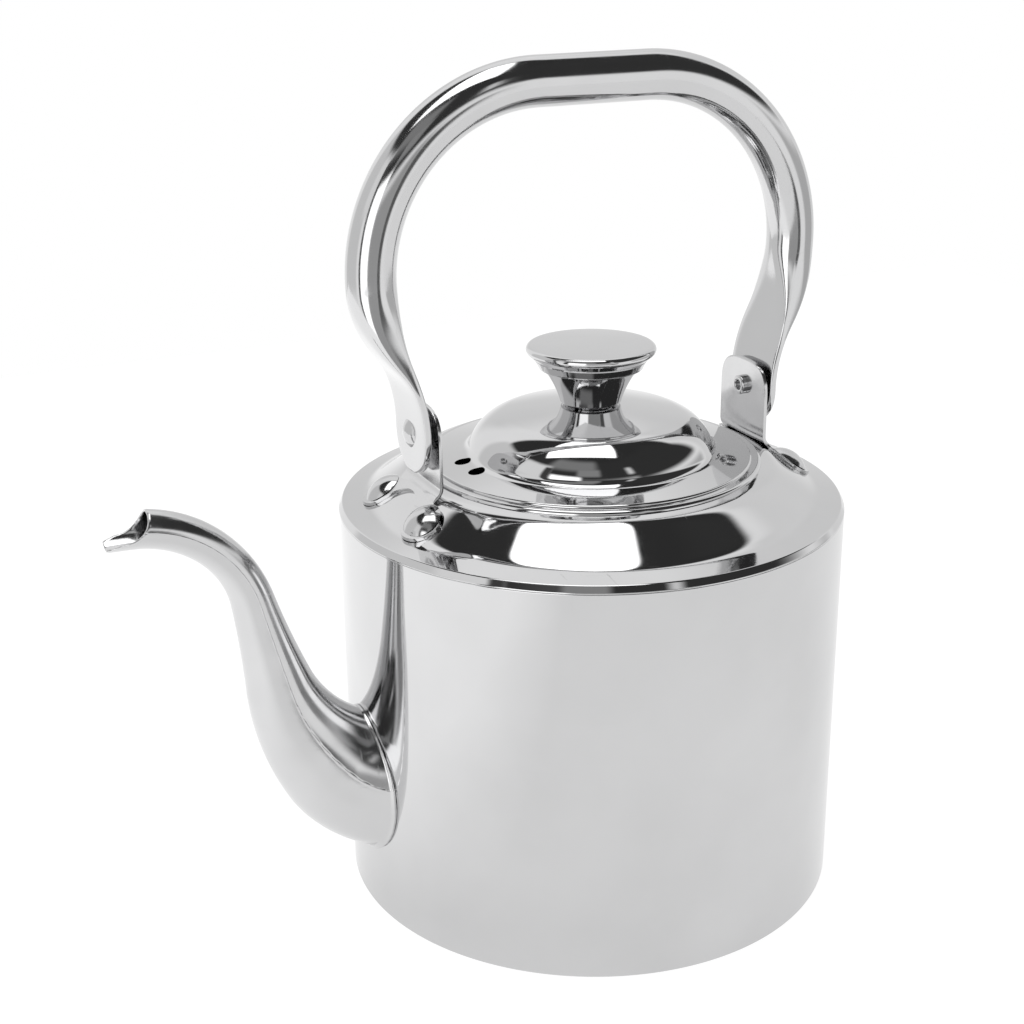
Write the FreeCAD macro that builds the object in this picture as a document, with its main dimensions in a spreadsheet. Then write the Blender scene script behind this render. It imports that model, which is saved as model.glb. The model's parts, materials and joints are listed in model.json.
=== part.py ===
import FreeCAD
import Part
import Sketcher

import math
import os
from types import SimpleNamespace

# Gooseneck kettle of polished stainless sheet, in millimetres.
# Z points up from the centre of the base, the spout points along -X,
# and the bail handle stands over the lid in the plane of the spout.

# Driving dimensions: lengths in millimetres, angles in degrees.
DIMENSIONS = {
    # Vessel: rolled wall, pressed base, pressed shoulder with the lid seat
    "body_radius": 75.0,
    "body_height": 117.5,
    "sheet_gauge": 0.8,
    "seam_gap": 0.05,
    "base_flange_height": 5.0,
    "base_corner_radius": 2.5,
    "base_panel_radius": 58.0,
    "base_step_run": 3.0,
    "base_recess": 1.5,
    "shoulder_skirt": 2.5,
    "edge_radius": 3.0,
    "shoulder_angle": 22.0,
    "neck_radius": 51.15,
    "neck_bead": 2.0,
    "mouth_radius": 43.5,
    "mouth_round": 1.5,
    "mouth_lip_depth": 5.0,
    # Lid: brim, sloping ring with two vents, dome with a flat land for the knob
    "lid_radius": 47.45,
    "rim_foot": 1.0,
    "rim_height": 1.1,
    "brim_width": 1.9,
    "dome_foot_radius": 8.0,
    "dome_foot_angle": 55.0,
    "dome_crown_radius": 108.0,
    "dome_rise": 16.1,
    "land_radius": 8.9,
    "vent_place_radius": 39.9,
    "vent_angle": 5.2,
    "vent_radius": 2.6,
    "skirt_depth": 9.0,
    "skirt_clearance": 0.6,
    # Knob on the lid and the screw that holds it
    "knob_base_radius": 8.5,
    "knob_waist_radius": 13.6,
    "knob_cone_height": 9.7,
    "cap_bore_radius": 11.5,
    "cap_foot_radius": 15.0,
    "cap_flare_radius": 12.0,
    "cap_height": 6.4,
    "cap_rim_radius": 19.0,
    "cap_rim_round": 1.0,
    "cap_rim_rise": 1.2,
    "cap_crown_rise": 1.0,
    "screw_radius": 2.5,
    "screw_head_radius": 4.5,
    "screw_head_height": 2.6,
    "screw_tail": 1.2,
    "nut_corner_radius": 4.6,
    "nut_height": 4.0,
    "knob_washer_radius": 6.0,
    "knob_washer_thickness": 1.0,
    # Spout: centreline of arcs and straights, section tapering from root to tip
    "spout_gauge": 1.0,
    "spout_root_reach": 72.0,
    "spout_root_height": 41.5,
    "spout_root_overlap": 12.0,
    "spout_start_angle": 14.0,
    "spout_first_bend": 27.0,
    "spout_middle_angle": 48.0,
    "spout_second_bend": 61.0,
    "spout_lean_angle": 77.4,
    "spout_straight": 27.0,
    "spout_top_bend": 34.2,
    "spout_tip_angle": 1.5,
    "spout_tip_straight": 6.4,
    "spout_root_half_height": 24.0,
    "spout_root_half_width": 19.6,
    "spout_tip_radius": 5.4,
    "spout_taper_length": 95.0,
    "spout_scoop_radius": 9.5,
    "spout_scoop_back": 1.4,
    "spout_scoop_rise": 5.6,
    "spout_port_radius": 14.0,
    # Handle: round tube bent over the lid, its ends flattened and holed
    "tube_radius": 7.0,
    "tube_gauge": 1.0,
    "grip_bend": 50.0,
    "leg_angle": 27.0,
    "leg_offset": 0.8,
    "leg_drop": 4.1,
    "flatten_middle": 6.0,
    "flatten_length": 12.0,
    "flatten_middle_half_width": 9.0,
    "flatten_middle_half_thickness": 4.2,
    "end_half_width": 10.5,
    "end_thickness": 2.6,
    "end_straight": 6.7,
    # Ear brackets, their rivets and the pivots of the handle
    "pivot_rise": 16.8,
    "ear_neck_gap": 0.45,
    "ear_thickness": 1.8,
    "ear_half_width": 12.25,
    "ear_top_rise": 9.7,
    "ear_bend_radius": 3.0,
    "flange_thickness": 1.5,
    "flange_waist_run": 3.9,
    "lobe_radius": 6.6,
    "lobe_start_angle": -108.0,
    "lobe_end_angle": 47.0,
    "notch_radius": 11.0,
    "rivet_run": 10.4,
    "rivet_offset": 14.2,
    "rivet_radius": 2.5,
    "rivet_head_radius": 5.0,
    "rivet_head_height": 2.5,
    "rivet_tail_radius": 3.8,
    "rivet_tail_height": 1.5,
    "pivot_radius": 2.5,
    "pivot_clearance": 0.06,
    "pivot_head_radius": 4.75,
    "pivot_head_height": 2.3,
    "pivot_tail_radius": 3.2,
    "pivot_tail_length": 2.4,
    "pivot_bore_radius": 1.6,
    "pivot_bore_depth": 3.4,
    "washer_radius": 5.6,
    "washer_thickness": 0.5,
}

SPOUT_STATIONS_PER_BEND = 4
FULL_TURN = 360.0

doc = FreeCAD.newDocument("kettle")
sheet = doc.addObject("Spreadsheet::Sheet", "dims")
for row, (alias, number) in enumerate(DIMENSIONS.items(), start=1):
    sheet.set(f"A{row}", alias)
    sheet.set(f"B{row}", str(number))
    sheet.setAlias(f"B{row}", alias)
doc.recompute()


class Size:
    """A length or an angle, as a number and as the formula that binds it to the sheet."""

    def __init__(self, number, formula=None):
        self.number = float(number)
        self.formula = formula if formula else repr(float(number))

    def __add__(self, other):
        other = as_size(other)
        return Size(self.number + other.number, f"({self.formula} + {other.formula})")

    def __sub__(self, other):
        other = as_size(other)
        return Size(self.number - other.number, f"({self.formula} - {other.formula})")

    def __mul__(self, other):
        other = as_size(other)
        return Size(self.number * other.number, f"({self.formula} * {other.formula})")

    def __truediv__(self, other):
        other = as_size(other)
        return Size(self.number / other.number, f"({self.formula} / {other.formula})")

    def __neg__(self):
        return Size(-self.number, f"(0 - {self.formula})")


def as_size(value):
    return value if isinstance(value, Size) else Size(value)


def sine(angle):
    return Size(math.sin(math.radians(angle.number)), f"sin({angle.formula})")


def cosine(angle):
    return Size(math.cos(math.radians(angle.number)), f"cos({angle.formula})")


def tangent(angle):
    return Size(math.tan(math.radians(angle.number)), f"tan({angle.formula})")


def root(square):
    return Size(math.sqrt(square.number), f"sqrt({square.formula})")


def bearing(across, along):
    degrees = math.degrees(math.atan2(across.number, along.number))
    return Size(degrees, f"atan2({across.formula}; {along.formula})")


d = SimpleNamespace(**{alias: Size(sheet.get(alias), f"dims.{alias}") for alias in DIMENSIONS})
zero = Size(0.0)


def bind(thing, **sizes):
    """Bind each named property of a document object to its formula."""
    for name, size in sizes.items():
        thing.setExpression(name, size.formula)
    return thing


def place(thing, x=zero, y=zero, z=zero, yaw=zero, pitch=zero, roll=zero):
    """Bind a placement: turned by roll about X, pitch about Y and yaw about Z, then moved."""
    move = f"create(<<vector>>; {x.formula}; {y.formula}; {z.formula})"
    turn = f"create(<<rotation>>; {yaw.formula}; {pitch.formula}; {roll.formula})"
    thing.setExpression("Placement", f"create(<<placement>>; {move}; {turn})")
    return thing


def origin_plane(body, role):
    return next(f for f in body.Origin.OriginFeatures if f.Role == role)


def arc_between(start, end, radius, turn):
    """The short arc from start to end, turning left (turn +1) or right (turn -1)."""
    chord = end - start
    half = chord.Length / 2
    left = FreeCAD.Vector(-chord.y, chord.x, 0) / chord.Length
    centre = (start + end) / 2 + left * (turn * math.sqrt(radius ** 2 - half ** 2))
    first, last = (start, end) if turn > 0 else (end, start)
    angles = [math.atan2(p.y - centre.y, p.x - centre.x) for p in (first, last)]
    circle = Part.Circle(centre, FreeCAD.Vector(0, 0, 1), radius)
    return Part.ArcOfCircle(circle, angles[0], angles[1])


def draw_outline(sketch, corners, arcs):
    """Closed outline through the corners; arcs gives the radius and turn after a corner."""
    points = [FreeCAD.Vector(x.number, y.number, 0) for x, y in corners]
    ends = []
    for i, start in enumerate(points):
        finish = points[(i + 1) % len(points)]
        if i in arcs:
            radius, turn = arcs[i]
            edge = sketch.addGeometry(arc_between(start, finish, radius.number, turn))
            index = sketch.addConstraint(Sketcher.Constraint("Radius", edge, radius.number))
            sketch.setExpression(f"Constraints[{index}]", radius.formula)
            ends.append((edge, 1, 2) if turn > 0 else (edge, 2, 1))
        else:
            edge = sketch.addGeometry(Part.LineSegment(start, finish))
            ends.append((edge, 1, 2))
    for i, (edge, start, _) in enumerate(ends):
        last_edge, _, last_end = ends[i - 1]
        sketch.addConstraint(Sketcher.Constraint("Coincident", last_edge, last_end, edge, start))
        for kind, size, axis in (("DistanceX", corners[i][0], -2), ("DistanceY", corners[i][1], -1)):
            if size.number == 0.0:
                sketch.addConstraint(Sketcher.Constraint("PointOnObject", edge, start, axis))
                continue
            index = sketch.addConstraint(Sketcher.Constraint(kind, -1, 1, edge, start, size.number))
            sketch.setExpression(f"Constraints[{index}]", size.formula)
    return sketch


def turned(name, corners, arcs=None):
    """A piece turned about Z: the outline's corners are radius and height."""
    body = doc.addObject("PartDesign::Body", name)
    sketch = body.newObject("Sketcher::SketchObject", f"{name}_profile")
    sketch.AttachmentSupport = (origin_plane(body, "XZ_Plane"), "")
    sketch.MapMode = "FlatFace"
    draw_outline(sketch, corners, arcs or {})
    revolution = body.newObject("PartDesign::Revolution", f"{name}_turn")
    revolution.Profile = sketch
    revolution.ReferenceAxis = (sketch, ["V_Axis"])
    revolution.Angle = FULL_TURN
    return body


def solid(kind, name, **sizes):
    return bind(doc.addObject(f"Part::{kind}", name), **sizes)


def joined(name, pieces):
    fuse = doc.addObject("Part::MultiFuse", name)
    fuse.Shapes = pieces
    fuse.Refine = True
    return fuse


def cut(name, base, tool):
    difference = doc.addObject("Part::Cut", name)
    difference.Base = base
    difference.Tool = tool
    return difference


def common(name, base, tool):
    overlap = doc.addObject("Part::Common", name)
    overlap.Base = base
    overlap.Tool = tool
    return overlap


def mirrored(name, source):
    """The piece on the other side of the YZ plane."""
    mirror = doc.addObject("Part::Mirroring", name)
    mirror.Source = source
    mirror.Normal = FreeCAD.Vector(1, 0, 0)
    return mirror


def loft(name, sections):
    skin = doc.addObject("Part::Loft", name)
    skin.Sections = sections
    skin.Solid = True
    skin.Ruled = False
    return skin


# Shoulder cone and lid seat: the heights that other pieces line up with
gauge = d.sheet_gauge
wall_inner = d.body_radius - gauge
edge_centre = d.body_radius - d.edge_radius
edge_top_radius = edge_centre + d.edge_radius * sine(d.shoulder_angle)
edge_top_height = d.body_height + d.edge_radius * cosine(d.shoulder_angle)


def cone_height(radius):
    """Height of the shoulder's outer surface at a radius."""
    return edge_top_height + (edge_top_radius - radius) * tangent(d.shoulder_angle)


neck_base = cone_height(d.neck_radius)
seat = neck_base + d.neck_bead

# Ear brackets: the ear stands just outside the neck, the rivets further down the cone
ear_inner = d.neck_radius + d.ear_neck_gap
ear_outer = ear_inner + d.ear_thickness
pivot_height = cone_height(ear_inner) + d.pivot_rise
rivet_reach = ear_inner + d.rivet_run
rivet_circle = root(rivet_reach * rivet_reach + d.rivet_offset * d.rivet_offset)

# Lid from brim to crown: a hollow foot arc, a corner arc and a crown arc, each tangent to the next
brim_top = seat + d.rim_height
brim_edge = d.lid_radius - d.rim_height - d.brim_width
foot_centre_height = brim_top + d.dome_foot_radius
turn_radius = brim_edge - d.dome_foot_radius * sine(d.dome_foot_angle)
turn_height = foot_centre_height - d.dome_foot_radius * cosine(d.dome_foot_angle)
crown_centre = seat + d.dome_rise - d.dome_crown_radius
turn_rise = turn_height - crown_centre
corner_radius = (
    (d.dome_crown_radius * d.dome_crown_radius - turn_radius * turn_radius - turn_rise * turn_rise)
    / (d.dome_crown_radius - turn_radius * sine(d.dome_foot_angle) - turn_rise * cosine(d.dome_foot_angle))
    / 2
)
corner_centre_radius = turn_radius - corner_radius * sine(d.dome_foot_angle)
corner_centre_rise = turn_rise - corner_radius * cosine(d.dome_foot_angle)


def dome_turn(inset):
    """Point where the foot arc turns into the corner arc, on a skin inset from the outside."""
    return (turn_radius - inset * sine(d.dome_foot_angle), turn_height - inset * cosine(d.dome_foot_angle))


def dome_joint(inset):
    """Point where the corner arc meets the crown arc, on a skin inset from the outside."""
    share = (d.dome_crown_radius - inset) / (d.dome_crown_radius - corner_radius)
    return (corner_centre_radius * share, crown_centre + corner_centre_rise * share)


def land_height(inset):
    """Height of the crown arc at the edge of the knob's land."""
    radius = d.dome_crown_radius - inset
    return crown_centre + root(radius * radius - d.land_radius * d.land_radius)


def brim_under(radius):
    """Height of the lid's underside over its foot arc."""
    reach = brim_edge - radius
    outer = d.dome_foot_radius + gauge
    return foot_centre_height - root(outer * outer - reach * reach)


def cap_radius(half_width, rise):
    """Radius of the round cap of this half width and rise, centred on its axis."""
    return (half_width * half_width + rise * rise) / rise / 2


land = land_height(zero)
land_under = land_height(gauge)
screw_hole = d.screw_radius + d.seam_gap


def make_body_wall():
    wall = turned("wall_tube", [
        (wall_inner, zero),
        (d.body_radius, zero),
        (d.body_radius, d.body_height),
        (wall_inner, d.body_height),
    ])
    port = solid("Cylinder", "spout_port", Radius=d.spout_port_radius, Height=d.body_radius * 2)
    place(port, x=-d.body_radius * 2, z=d.spout_root_height, pitch=Size(90))
    return cut("body_wall", wall, port)


def make_base_pan():
    outer = wall_inner - d.seam_gap
    corner = d.base_corner_radius
    step_outer = d.base_panel_radius + d.base_step_run
    return turned("base_pan", [
        (zero, d.base_recess),
        (d.base_panel_radius, d.base_recess),
        (step_outer, zero),
        (outer - corner, zero),
        (outer, corner),
        (outer, d.base_flange_height),
        (outer - gauge, d.base_flange_height),
        (outer - gauge, corner),
        (outer - corner, gauge),
        (step_outer, gauge),
        (d.base_panel_radius, d.base_recess + gauge),
        (zero, d.base_recess + gauge),
    ], {3: (corner, 1), 7: (corner - gauge, -1)})


def rivet_spot(side_x, side_y, depth):
    """Placement on the shoulder cone, Z along its normal, sunk by a depth."""
    along = rivet_reach * side_x
    across = d.rivet_offset * side_y
    slope = d.shoulder_angle
    yaw = bearing(across, along)
    return {
        "x": along - depth * sine(slope) * cosine(yaw),
        "y": across - depth * sine(slope) * sine(yaw),
        "z": cone_height(rivet_circle) - depth * cosine(slope),
        "yaw": yaw,
        "pitch": slope,
    }


def rivet_holes(name, sides):
    """Clearance holes for bracket rivets, through the shoulder and the flange."""
    holes = []
    depth = gauge * 4
    for side_x, side_y in sides:
        hole = solid("Cylinder", f"{name}_{len(holes)}", Radius=d.rivet_radius + d.seam_gap,
                     Height=depth + d.flange_thickness * 3)
        holes.append(place(hole, **rivet_spot(side_x, side_y, depth)))
    return holes


def make_shoulder():
    edge_inner = d.edge_radius - gauge
    skirt_outer = wall_inner - d.seam_gap
    skirt_inner = skirt_outer - gauge
    skirt_run = skirt_inner - edge_centre
    skirt_top = d.body_height + root(edge_inner * edge_inner - skirt_run * skirt_run)
    inner_top_radius = edge_centre + edge_inner * sine(d.shoulder_angle)
    inner_top_height = d.body_height + edge_inner * cosine(d.shoulder_angle)
    neck_inner = d.neck_radius - gauge
    cone_inner = inner_top_height + (inner_top_radius - neck_inner) * tangent(d.shoulder_angle)
    bead_centre = d.neck_radius - d.neck_bead
    lip_outer = d.mouth_radius + gauge
    mouth_edge = d.mouth_radius + d.mouth_round
    shell = turned("shoulder_shell", [
        (skirt_outer, d.body_height - d.shoulder_skirt),
        (skirt_outer, d.body_height),
        (d.body_radius, d.body_height),
        (edge_top_radius, edge_top_height),
        (d.neck_radius, neck_base),
        (bead_centre, seat),
        (mouth_edge, seat),
        (d.mouth_radius, seat - d.mouth_round),
        (d.mouth_radius, seat - d.mouth_lip_depth),
        (lip_outer, seat - d.mouth_lip_depth),
        (lip_outer, seat - d.mouth_round),
        (mouth_edge, seat - gauge),
        (bead_centre, seat - gauge),
        (neck_inner, neck_base),
        (neck_inner, cone_inner),
        (inner_top_radius, inner_top_height),
        (skirt_inner, skirt_top),
        (skirt_inner, d.body_height - d.shoulder_skirt),
    ], {
        2: (d.edge_radius, 1),
        4: (d.neck_bead, 1),
        6: (d.mouth_round, 1),
        10: (d.mouth_round - gauge, -1),
        12: (d.neck_bead - gauge, -1),
        15: (edge_inner, -1),
    })
    sides = [(1, 1), (1, -1), (-1, 1), (-1, -1)]
    return cut("shoulder", shell, joined("shoulder_holes", rivet_holes("shoulder_hole", sides)))


def make_lid_shell():
    shell = turned("lid_pressing", [
        (d.lid_radius - d.rim_foot, seat),
        (d.lid_radius, seat),
        (d.lid_radius - d.rim_height, brim_top),
        (brim_edge, brim_top),
        dome_turn(zero),
        dome_joint(zero),
        (d.land_radius, land),
        (screw_hole, land),
        (screw_hole, land_under),
        (d.land_radius, land_under),
        dome_joint(gauge),
        dome_turn(gauge),
        (brim_edge, brim_top - gauge),
        (d.lid_radius - d.rim_height, brim_top - gauge),
    ], {
        1: (d.rim_height, 1),
        3: (d.dome_foot_radius, -1),
        4: (corner_radius, 1),
        5: (d.dome_crown_radius, 1),
        9: (d.dome_crown_radius - gauge, -1),
        10: (corner_radius - gauge, -1),
        11: (d.dome_foot_radius + gauge, 1),
    })
    vents = []
    for side in (1, -1):
        angle = d.vent_angle * side
        vent = solid("Cylinder", f"vent_{len(vents)}", Radius=d.vent_radius, Height=d.dome_rise)
        place(vent, x=-d.vent_place_radius * cosine(angle), y=d.vent_place_radius * sine(angle), z=seat)
        vents.append(vent)
    return cut("lid_shell", shell, joined("vents", vents))


def make_lid_skirt():
    outer = d.mouth_radius - d.skirt_clearance
    inner = outer - gauge
    return turned("lid_skirt", [
        (inner, seat - d.skirt_depth),
        (outer, seat - d.skirt_depth),
        (outer, brim_under(outer) - d.seam_gap),
        (inner, brim_under(inner) - d.seam_gap),
    ])


def make_knob():
    waist = land + d.knob_cone_height
    cone = turned("knob_cone", [
        (screw_hole, land),
        (d.knob_base_radius, land),
        (d.knob_waist_radius, waist),
        (d.knob_waist_radius - gauge, waist),
        (d.knob_base_radius - gauge, land + gauge),
        (screw_hole, land + gauge),
    ])
    foot = waist + d.seam_gap
    rim = foot + d.cap_height
    crown = rim + d.cap_rim_rise
    shoulder_radius = d.cap_rim_radius - d.cap_rim_round
    inner_rim = d.cap_rim_radius - gauge * 2
    cap = turned("knob_cap", [
        (d.cap_bore_radius, foot),
        (d.cap_foot_radius, foot),
        (d.cap_rim_radius, rim),
        (shoulder_radius, crown),
        (zero, crown + d.cap_crown_rise),
        (zero, crown + d.cap_crown_rise - gauge),
        (inner_rim, rim),
        (d.cap_foot_radius - gauge, foot + gauge),
        (d.cap_bore_radius, foot + gauge),
    ], {
        1: (d.cap_flare_radius, -1),
        2: (d.cap_rim_round, 1),
        3: (cap_radius(shoulder_radius, d.cap_crown_rise), 1),
        6: (d.cap_flare_radius, 1),
    })
    return [cone, cap]


def make_knob_fixing():
    nut_base = land + gauge
    hexagon = solid("Prism", "nut_hexagon", Circumradius=d.nut_corner_radius, Height=d.nut_height)
    hexagon.Polygon = 6
    place(hexagon, z=nut_base)
    thread = solid("Cylinder", "nut_thread", Radius=screw_hole, Height=d.nut_height)
    place(thread, z=nut_base)
    nut = cut("knob_nut", hexagon, thread)
    washer_base = land_under - d.knob_washer_thickness
    washer = turned("knob_washer", [
        (screw_hole, washer_base),
        (d.knob_washer_radius, washer_base),
        (d.knob_washer_radius, land_under),
        (screw_hole, land_under),
    ])
    head_base = washer_base - d.screw_head_height
    tail = nut_base + d.nut_height + d.screw_tail
    screw = turned("knob_screw", [
        (zero, head_base),
        (d.screw_head_radius, head_base),
        (d.screw_head_radius, washer_base),
        (d.screw_radius, washer_base),
        (d.screw_radius, tail),
        (zero, tail),
    ])
    return [nut, washer, screw]


def spout_stations():
    """Points along the centreline: reach, height, heading and distance from the root."""
    reach = d.spout_root_reach
    height = d.spout_root_height
    start = d.spout_start_angle
    back = d.spout_root_overlap
    stations = [(reach - back * cosine(start), height - back * sine(start), start, zero)]
    distance = zero
    heading = start
    bends = [
        (d.spout_first_bend, d.spout_middle_angle, 1, None),
        (d.spout_second_bend, d.spout_lean_angle, 1, d.spout_straight),
        (d.spout_top_bend, d.spout_tip_angle, -1, d.spout_tip_straight),
    ]
    first_step = 0
    for bend, finish, turn, straight in bends:
        centre_reach = reach - bend * sine(heading) * turn
        centre_height = height + bend * cosine(heading) * turn
        for step in range(first_step, SPOUT_STATIONS_PER_BEND + 1):
            share = step / SPOUT_STATIONS_PER_BEND
            angle = heading + (finish - heading) * share
            point_reach = centre_reach + bend * sine(angle) * turn
            point_height = centre_height - bend * cosine(angle) * turn
            along = distance + bend * (angle - heading) * (turn * math.pi / 180)
            stations.append((point_reach, point_height, angle, along))
        reach, height, heading, distance = point_reach, point_height, finish, along
        first_step = 0 if straight else 1
        if straight:
            reach = reach + straight * cosine(heading)
            height = height + straight * sine(heading)
            distance = distance + straight
    stations.append((reach, height, heading, distance))
    return stations


def spout_section(name, station, inset):
    """Ellipse across the centreline; the taper falls as the square of the distance left."""
    reach, height, heading, along = station
    left = Size(1.0) - along / d.spout_taper_length
    taper = left * left if left.number > 0 else zero
    half_height = d.spout_tip_radius + (d.spout_root_half_height - d.spout_tip_radius) * taper - inset
    half_width = d.spout_tip_radius + (d.spout_root_half_width - d.spout_tip_radius) * taper - inset
    ellipse = solid("Ellipse", name, MajorRadius=half_height, MinorRadius=half_width)
    return place(ellipse, x=-reach, z=height, pitch=heading - 90)


def make_spout():
    stations = spout_stations()
    skins = []
    for name, inset in (("spout_skin", zero), ("spout_bore", d.spout_gauge)):
        rings = [spout_section(f"{name}_{i}", s, inset) for i, s in enumerate(stations)]
        skins.append(loft(name, rings))
    tip_reach, tip_height = stations[-1][:2]
    width = d.spout_root_half_width * 2
    scoop = solid("Cylinder", "spout_scoop", Radius=d.spout_scoop_radius, Height=width)
    place(scoop, x=-(tip_reach - d.spout_scoop_back), y=d.spout_root_half_width,
          z=tip_height + d.spout_scoop_rise, roll=Size(90))
    vessel = solid("Cylinder", "spout_seat", Radius=d.body_radius + d.seam_gap, Height=d.body_height)
    tube = cut("spout_tube", skins[0], joined("spout_cuts", [skins[1], scoop, vessel]))
    halves = []
    for name, side in (("spout_near_half", -1), ("spout_far_half", 1)):
        box = solid("Box", f"{name}_space", Length=tip_reach + d.spout_tip_radius, Width=width,
                    Height=tip_height + d.spout_root_half_height)
        place(box, x=-(tip_reach + d.spout_tip_radius), y=zero if side > 0 else -width)
        halves.append(common(name, tube, box))
    return halves


# Stack of the pivot along X: ear, washer, flattened handle end, rivet head
washer_face = ear_outer + d.seam_gap + d.washer_thickness
end_inner = washer_face + d.seam_gap
end_outer = end_inner + d.end_thickness
end_middle = end_inner + d.end_thickness / 2
pivot_hole = d.pivot_radius + d.pivot_clearance


# Legs of the handle: they lean in to the flattened ends, and the bends join them to the grip
lean = d.leg_angle
foot_x = end_middle + d.leg_offset + d.flatten_length * sine(lean)
foot_z = pivot_height + d.end_straight + d.leg_drop + d.flatten_length * cosine(lean)
grip_half_length = foot_x - d.grip_bend * cosine(lean)
bend_height = foot_z + d.grip_bend * sine(lean)
grip_height = bend_height + d.grip_bend


def make_handle():
    def grip(name, radius):
        bar = solid("Cylinder", f"{name}_bar", Radius=radius, Height=grip_half_length * 2)
        place(bar, x=-grip_half_length, z=grip_height, pitch=Size(90))
        bend = solid("Torus", f"{name}_bend", Radius1=d.grip_bend, Radius2=radius, Angle3=lean + 90)
        place(bend, x=grip_half_length, z=bend_height, pitch=lean, roll=Size(90))
        return [bar, bend, mirrored(f"{name}_other_bend", bend)]

    half_end = d.end_thickness / 2
    shapes = [
        (zero, d.tube_radius, d.tube_radius),
        (d.flatten_middle, d.flatten_middle_half_width, d.flatten_middle_half_thickness),
        (d.flatten_length, d.end_half_width, half_end),
    ]
    rings = []
    for run, half_width, half_thickness in shapes:
        ring = solid("Ellipse", f"flatten_{len(rings)}", MajorRadius=half_width, MinorRadius=half_thickness)
        x = foot_x - run * sine(lean)
        rings.append(place(ring, x=x, z=foot_z - run * cosine(lean), yaw=Size(90), roll=lean))
    ring = solid("Ellipse", "flatten_end", MajorRadius=d.end_half_width, MinorRadius=half_end)
    rings.append(place(ring, x=end_middle, z=pivot_height + d.end_straight, yaw=Size(90)))
    leg = loft("handle_leg", rings)
    plate = solid("Box", "handle_plate", Length=d.end_thickness, Width=d.end_half_width * 2,
                  Height=d.end_straight)
    place(plate, x=end_inner, y=-d.end_half_width, z=pivot_height)
    eye = solid("Cylinder", "handle_eye", Radius=d.end_half_width, Height=d.end_thickness)
    place(eye, x=end_inner, z=pivot_height, pitch=Size(90))
    end = joined("handle_end", [leg, plate, eye])
    outside = joined("handle_outside", grip("tube", d.tube_radius) + [end, mirrored("handle_other_end", end)])
    hole = solid("Cylinder", "handle_holes", Radius=pivot_hole, Height=end_outer * 2)
    place(hole, x=-end_outer, z=pivot_height, pitch=Size(90))
    inside = joined("handle_inside", grip("tube_bore", d.tube_radius - d.tube_gauge) + [hole])
    return cut("handle_tube", outside, inside)


def make_bend(corner_height):
    """Rounded inner corner where the ear rises from the flange, as wide as the ear."""
    slope = d.shoulder_angle
    run = d.ear_bend_radius / tangent((slope + 90) / 2)
    middle = ear_inner + d.ear_thickness / 2
    outline = doc.addObject("Sketcher::SketchObject", "bend_profile")
    draw_outline(outline, [
        (ear_outer, corner_height + run),
        (middle, corner_height + run),
        (middle, corner_height - run * sine(slope)),
        (ear_outer + run * cosine(slope), corner_height - run * sine(slope)),
    ], {3: (d.ear_bend_radius, -1)})
    place(outline, roll=Size(90))
    bend = solid("Extrusion", "ear_bend", LengthFwd=d.ear_half_width * 2)
    bend.Base = outline
    bend.DirMode = "Normal"
    bend.Solid = True
    bend.Symmetric = True
    return bend


def make_brackets():
    under = d.seam_gap / cosine(d.shoulder_angle)
    over = under + d.flange_thickness / cosine(d.shoulder_angle)
    strip_end = rivet_circle + d.lobe_radius + d.flange_thickness
    waist_reach = ear_inner + d.flange_waist_run
    strip = turned("flange_strip", [
        (ear_inner, cone_height(ear_inner) + under),
        (strip_end, cone_height(strip_end) + under),
        (strip_end, cone_height(strip_end) + over),
        (ear_inner, cone_height(ear_inner) + over),
    ])
    start_x = rivet_reach + d.lobe_radius * cosine(d.lobe_start_angle)
    start_y = d.rivet_offset - d.lobe_radius * sine(d.lobe_start_angle)
    end_x = rivet_reach + d.lobe_radius * cosine(d.lobe_end_angle)
    end_y = d.rivet_offset - d.lobe_radius * sine(d.lobe_end_angle)
    outline = doc.addObject("Sketcher::SketchObject", "fishtail")
    draw_outline(outline, [
        (ear_inner, -d.ear_half_width),
        (waist_reach, -d.ear_half_width),
        (start_x, -start_y),
        (end_x, -end_y),
        (end_x, end_y),
        (start_x, start_y),
        (waist_reach, d.ear_half_width),
        (ear_inner, d.ear_half_width),
    ], {2: (d.lobe_radius, 1), 3: (d.notch_radius, -1), 4: (d.lobe_radius, 1)})
    prism = solid("Extrusion", "fishtail_prism", LengthFwd=pivot_height)
    prism.Base = outline
    prism.DirMode = "Normal"
    prism.Solid = True
    flange = common("bracket_flange", strip, prism)
    ear_foot = cone_height(ear_inner) + under
    top_centre = pivot_height + d.ear_top_rise - d.ear_half_width
    plate = solid("Box", "ear_plate", Length=d.ear_thickness, Width=d.ear_half_width * 2,
                  Height=top_centre - ear_foot)
    place(plate, x=ear_inner, y=-d.ear_half_width, z=ear_foot)
    crown = solid("Cylinder", "ear_crown", Radius=d.ear_half_width, Height=d.ear_thickness)
    place(crown, x=ear_inner, z=top_centre, pitch=Size(90))
    hole = solid("Cylinder", "ear_hole", Radius=pivot_hole, Height=end_outer)
    place(hole, z=pivot_height, pitch=Size(90))
    bend = make_bend(cone_height(ear_outer) + over)
    blank = joined("bracket_blank", [flange, plate, crown, bend])
    holes = joined("bracket_holes", rivet_holes("bracket_hole", [(1, 1), (1, -1)]) + [hole])
    rear = cut("rear_bracket", blank, holes)
    return [rear, mirrored("front_bracket", rear)]


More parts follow.
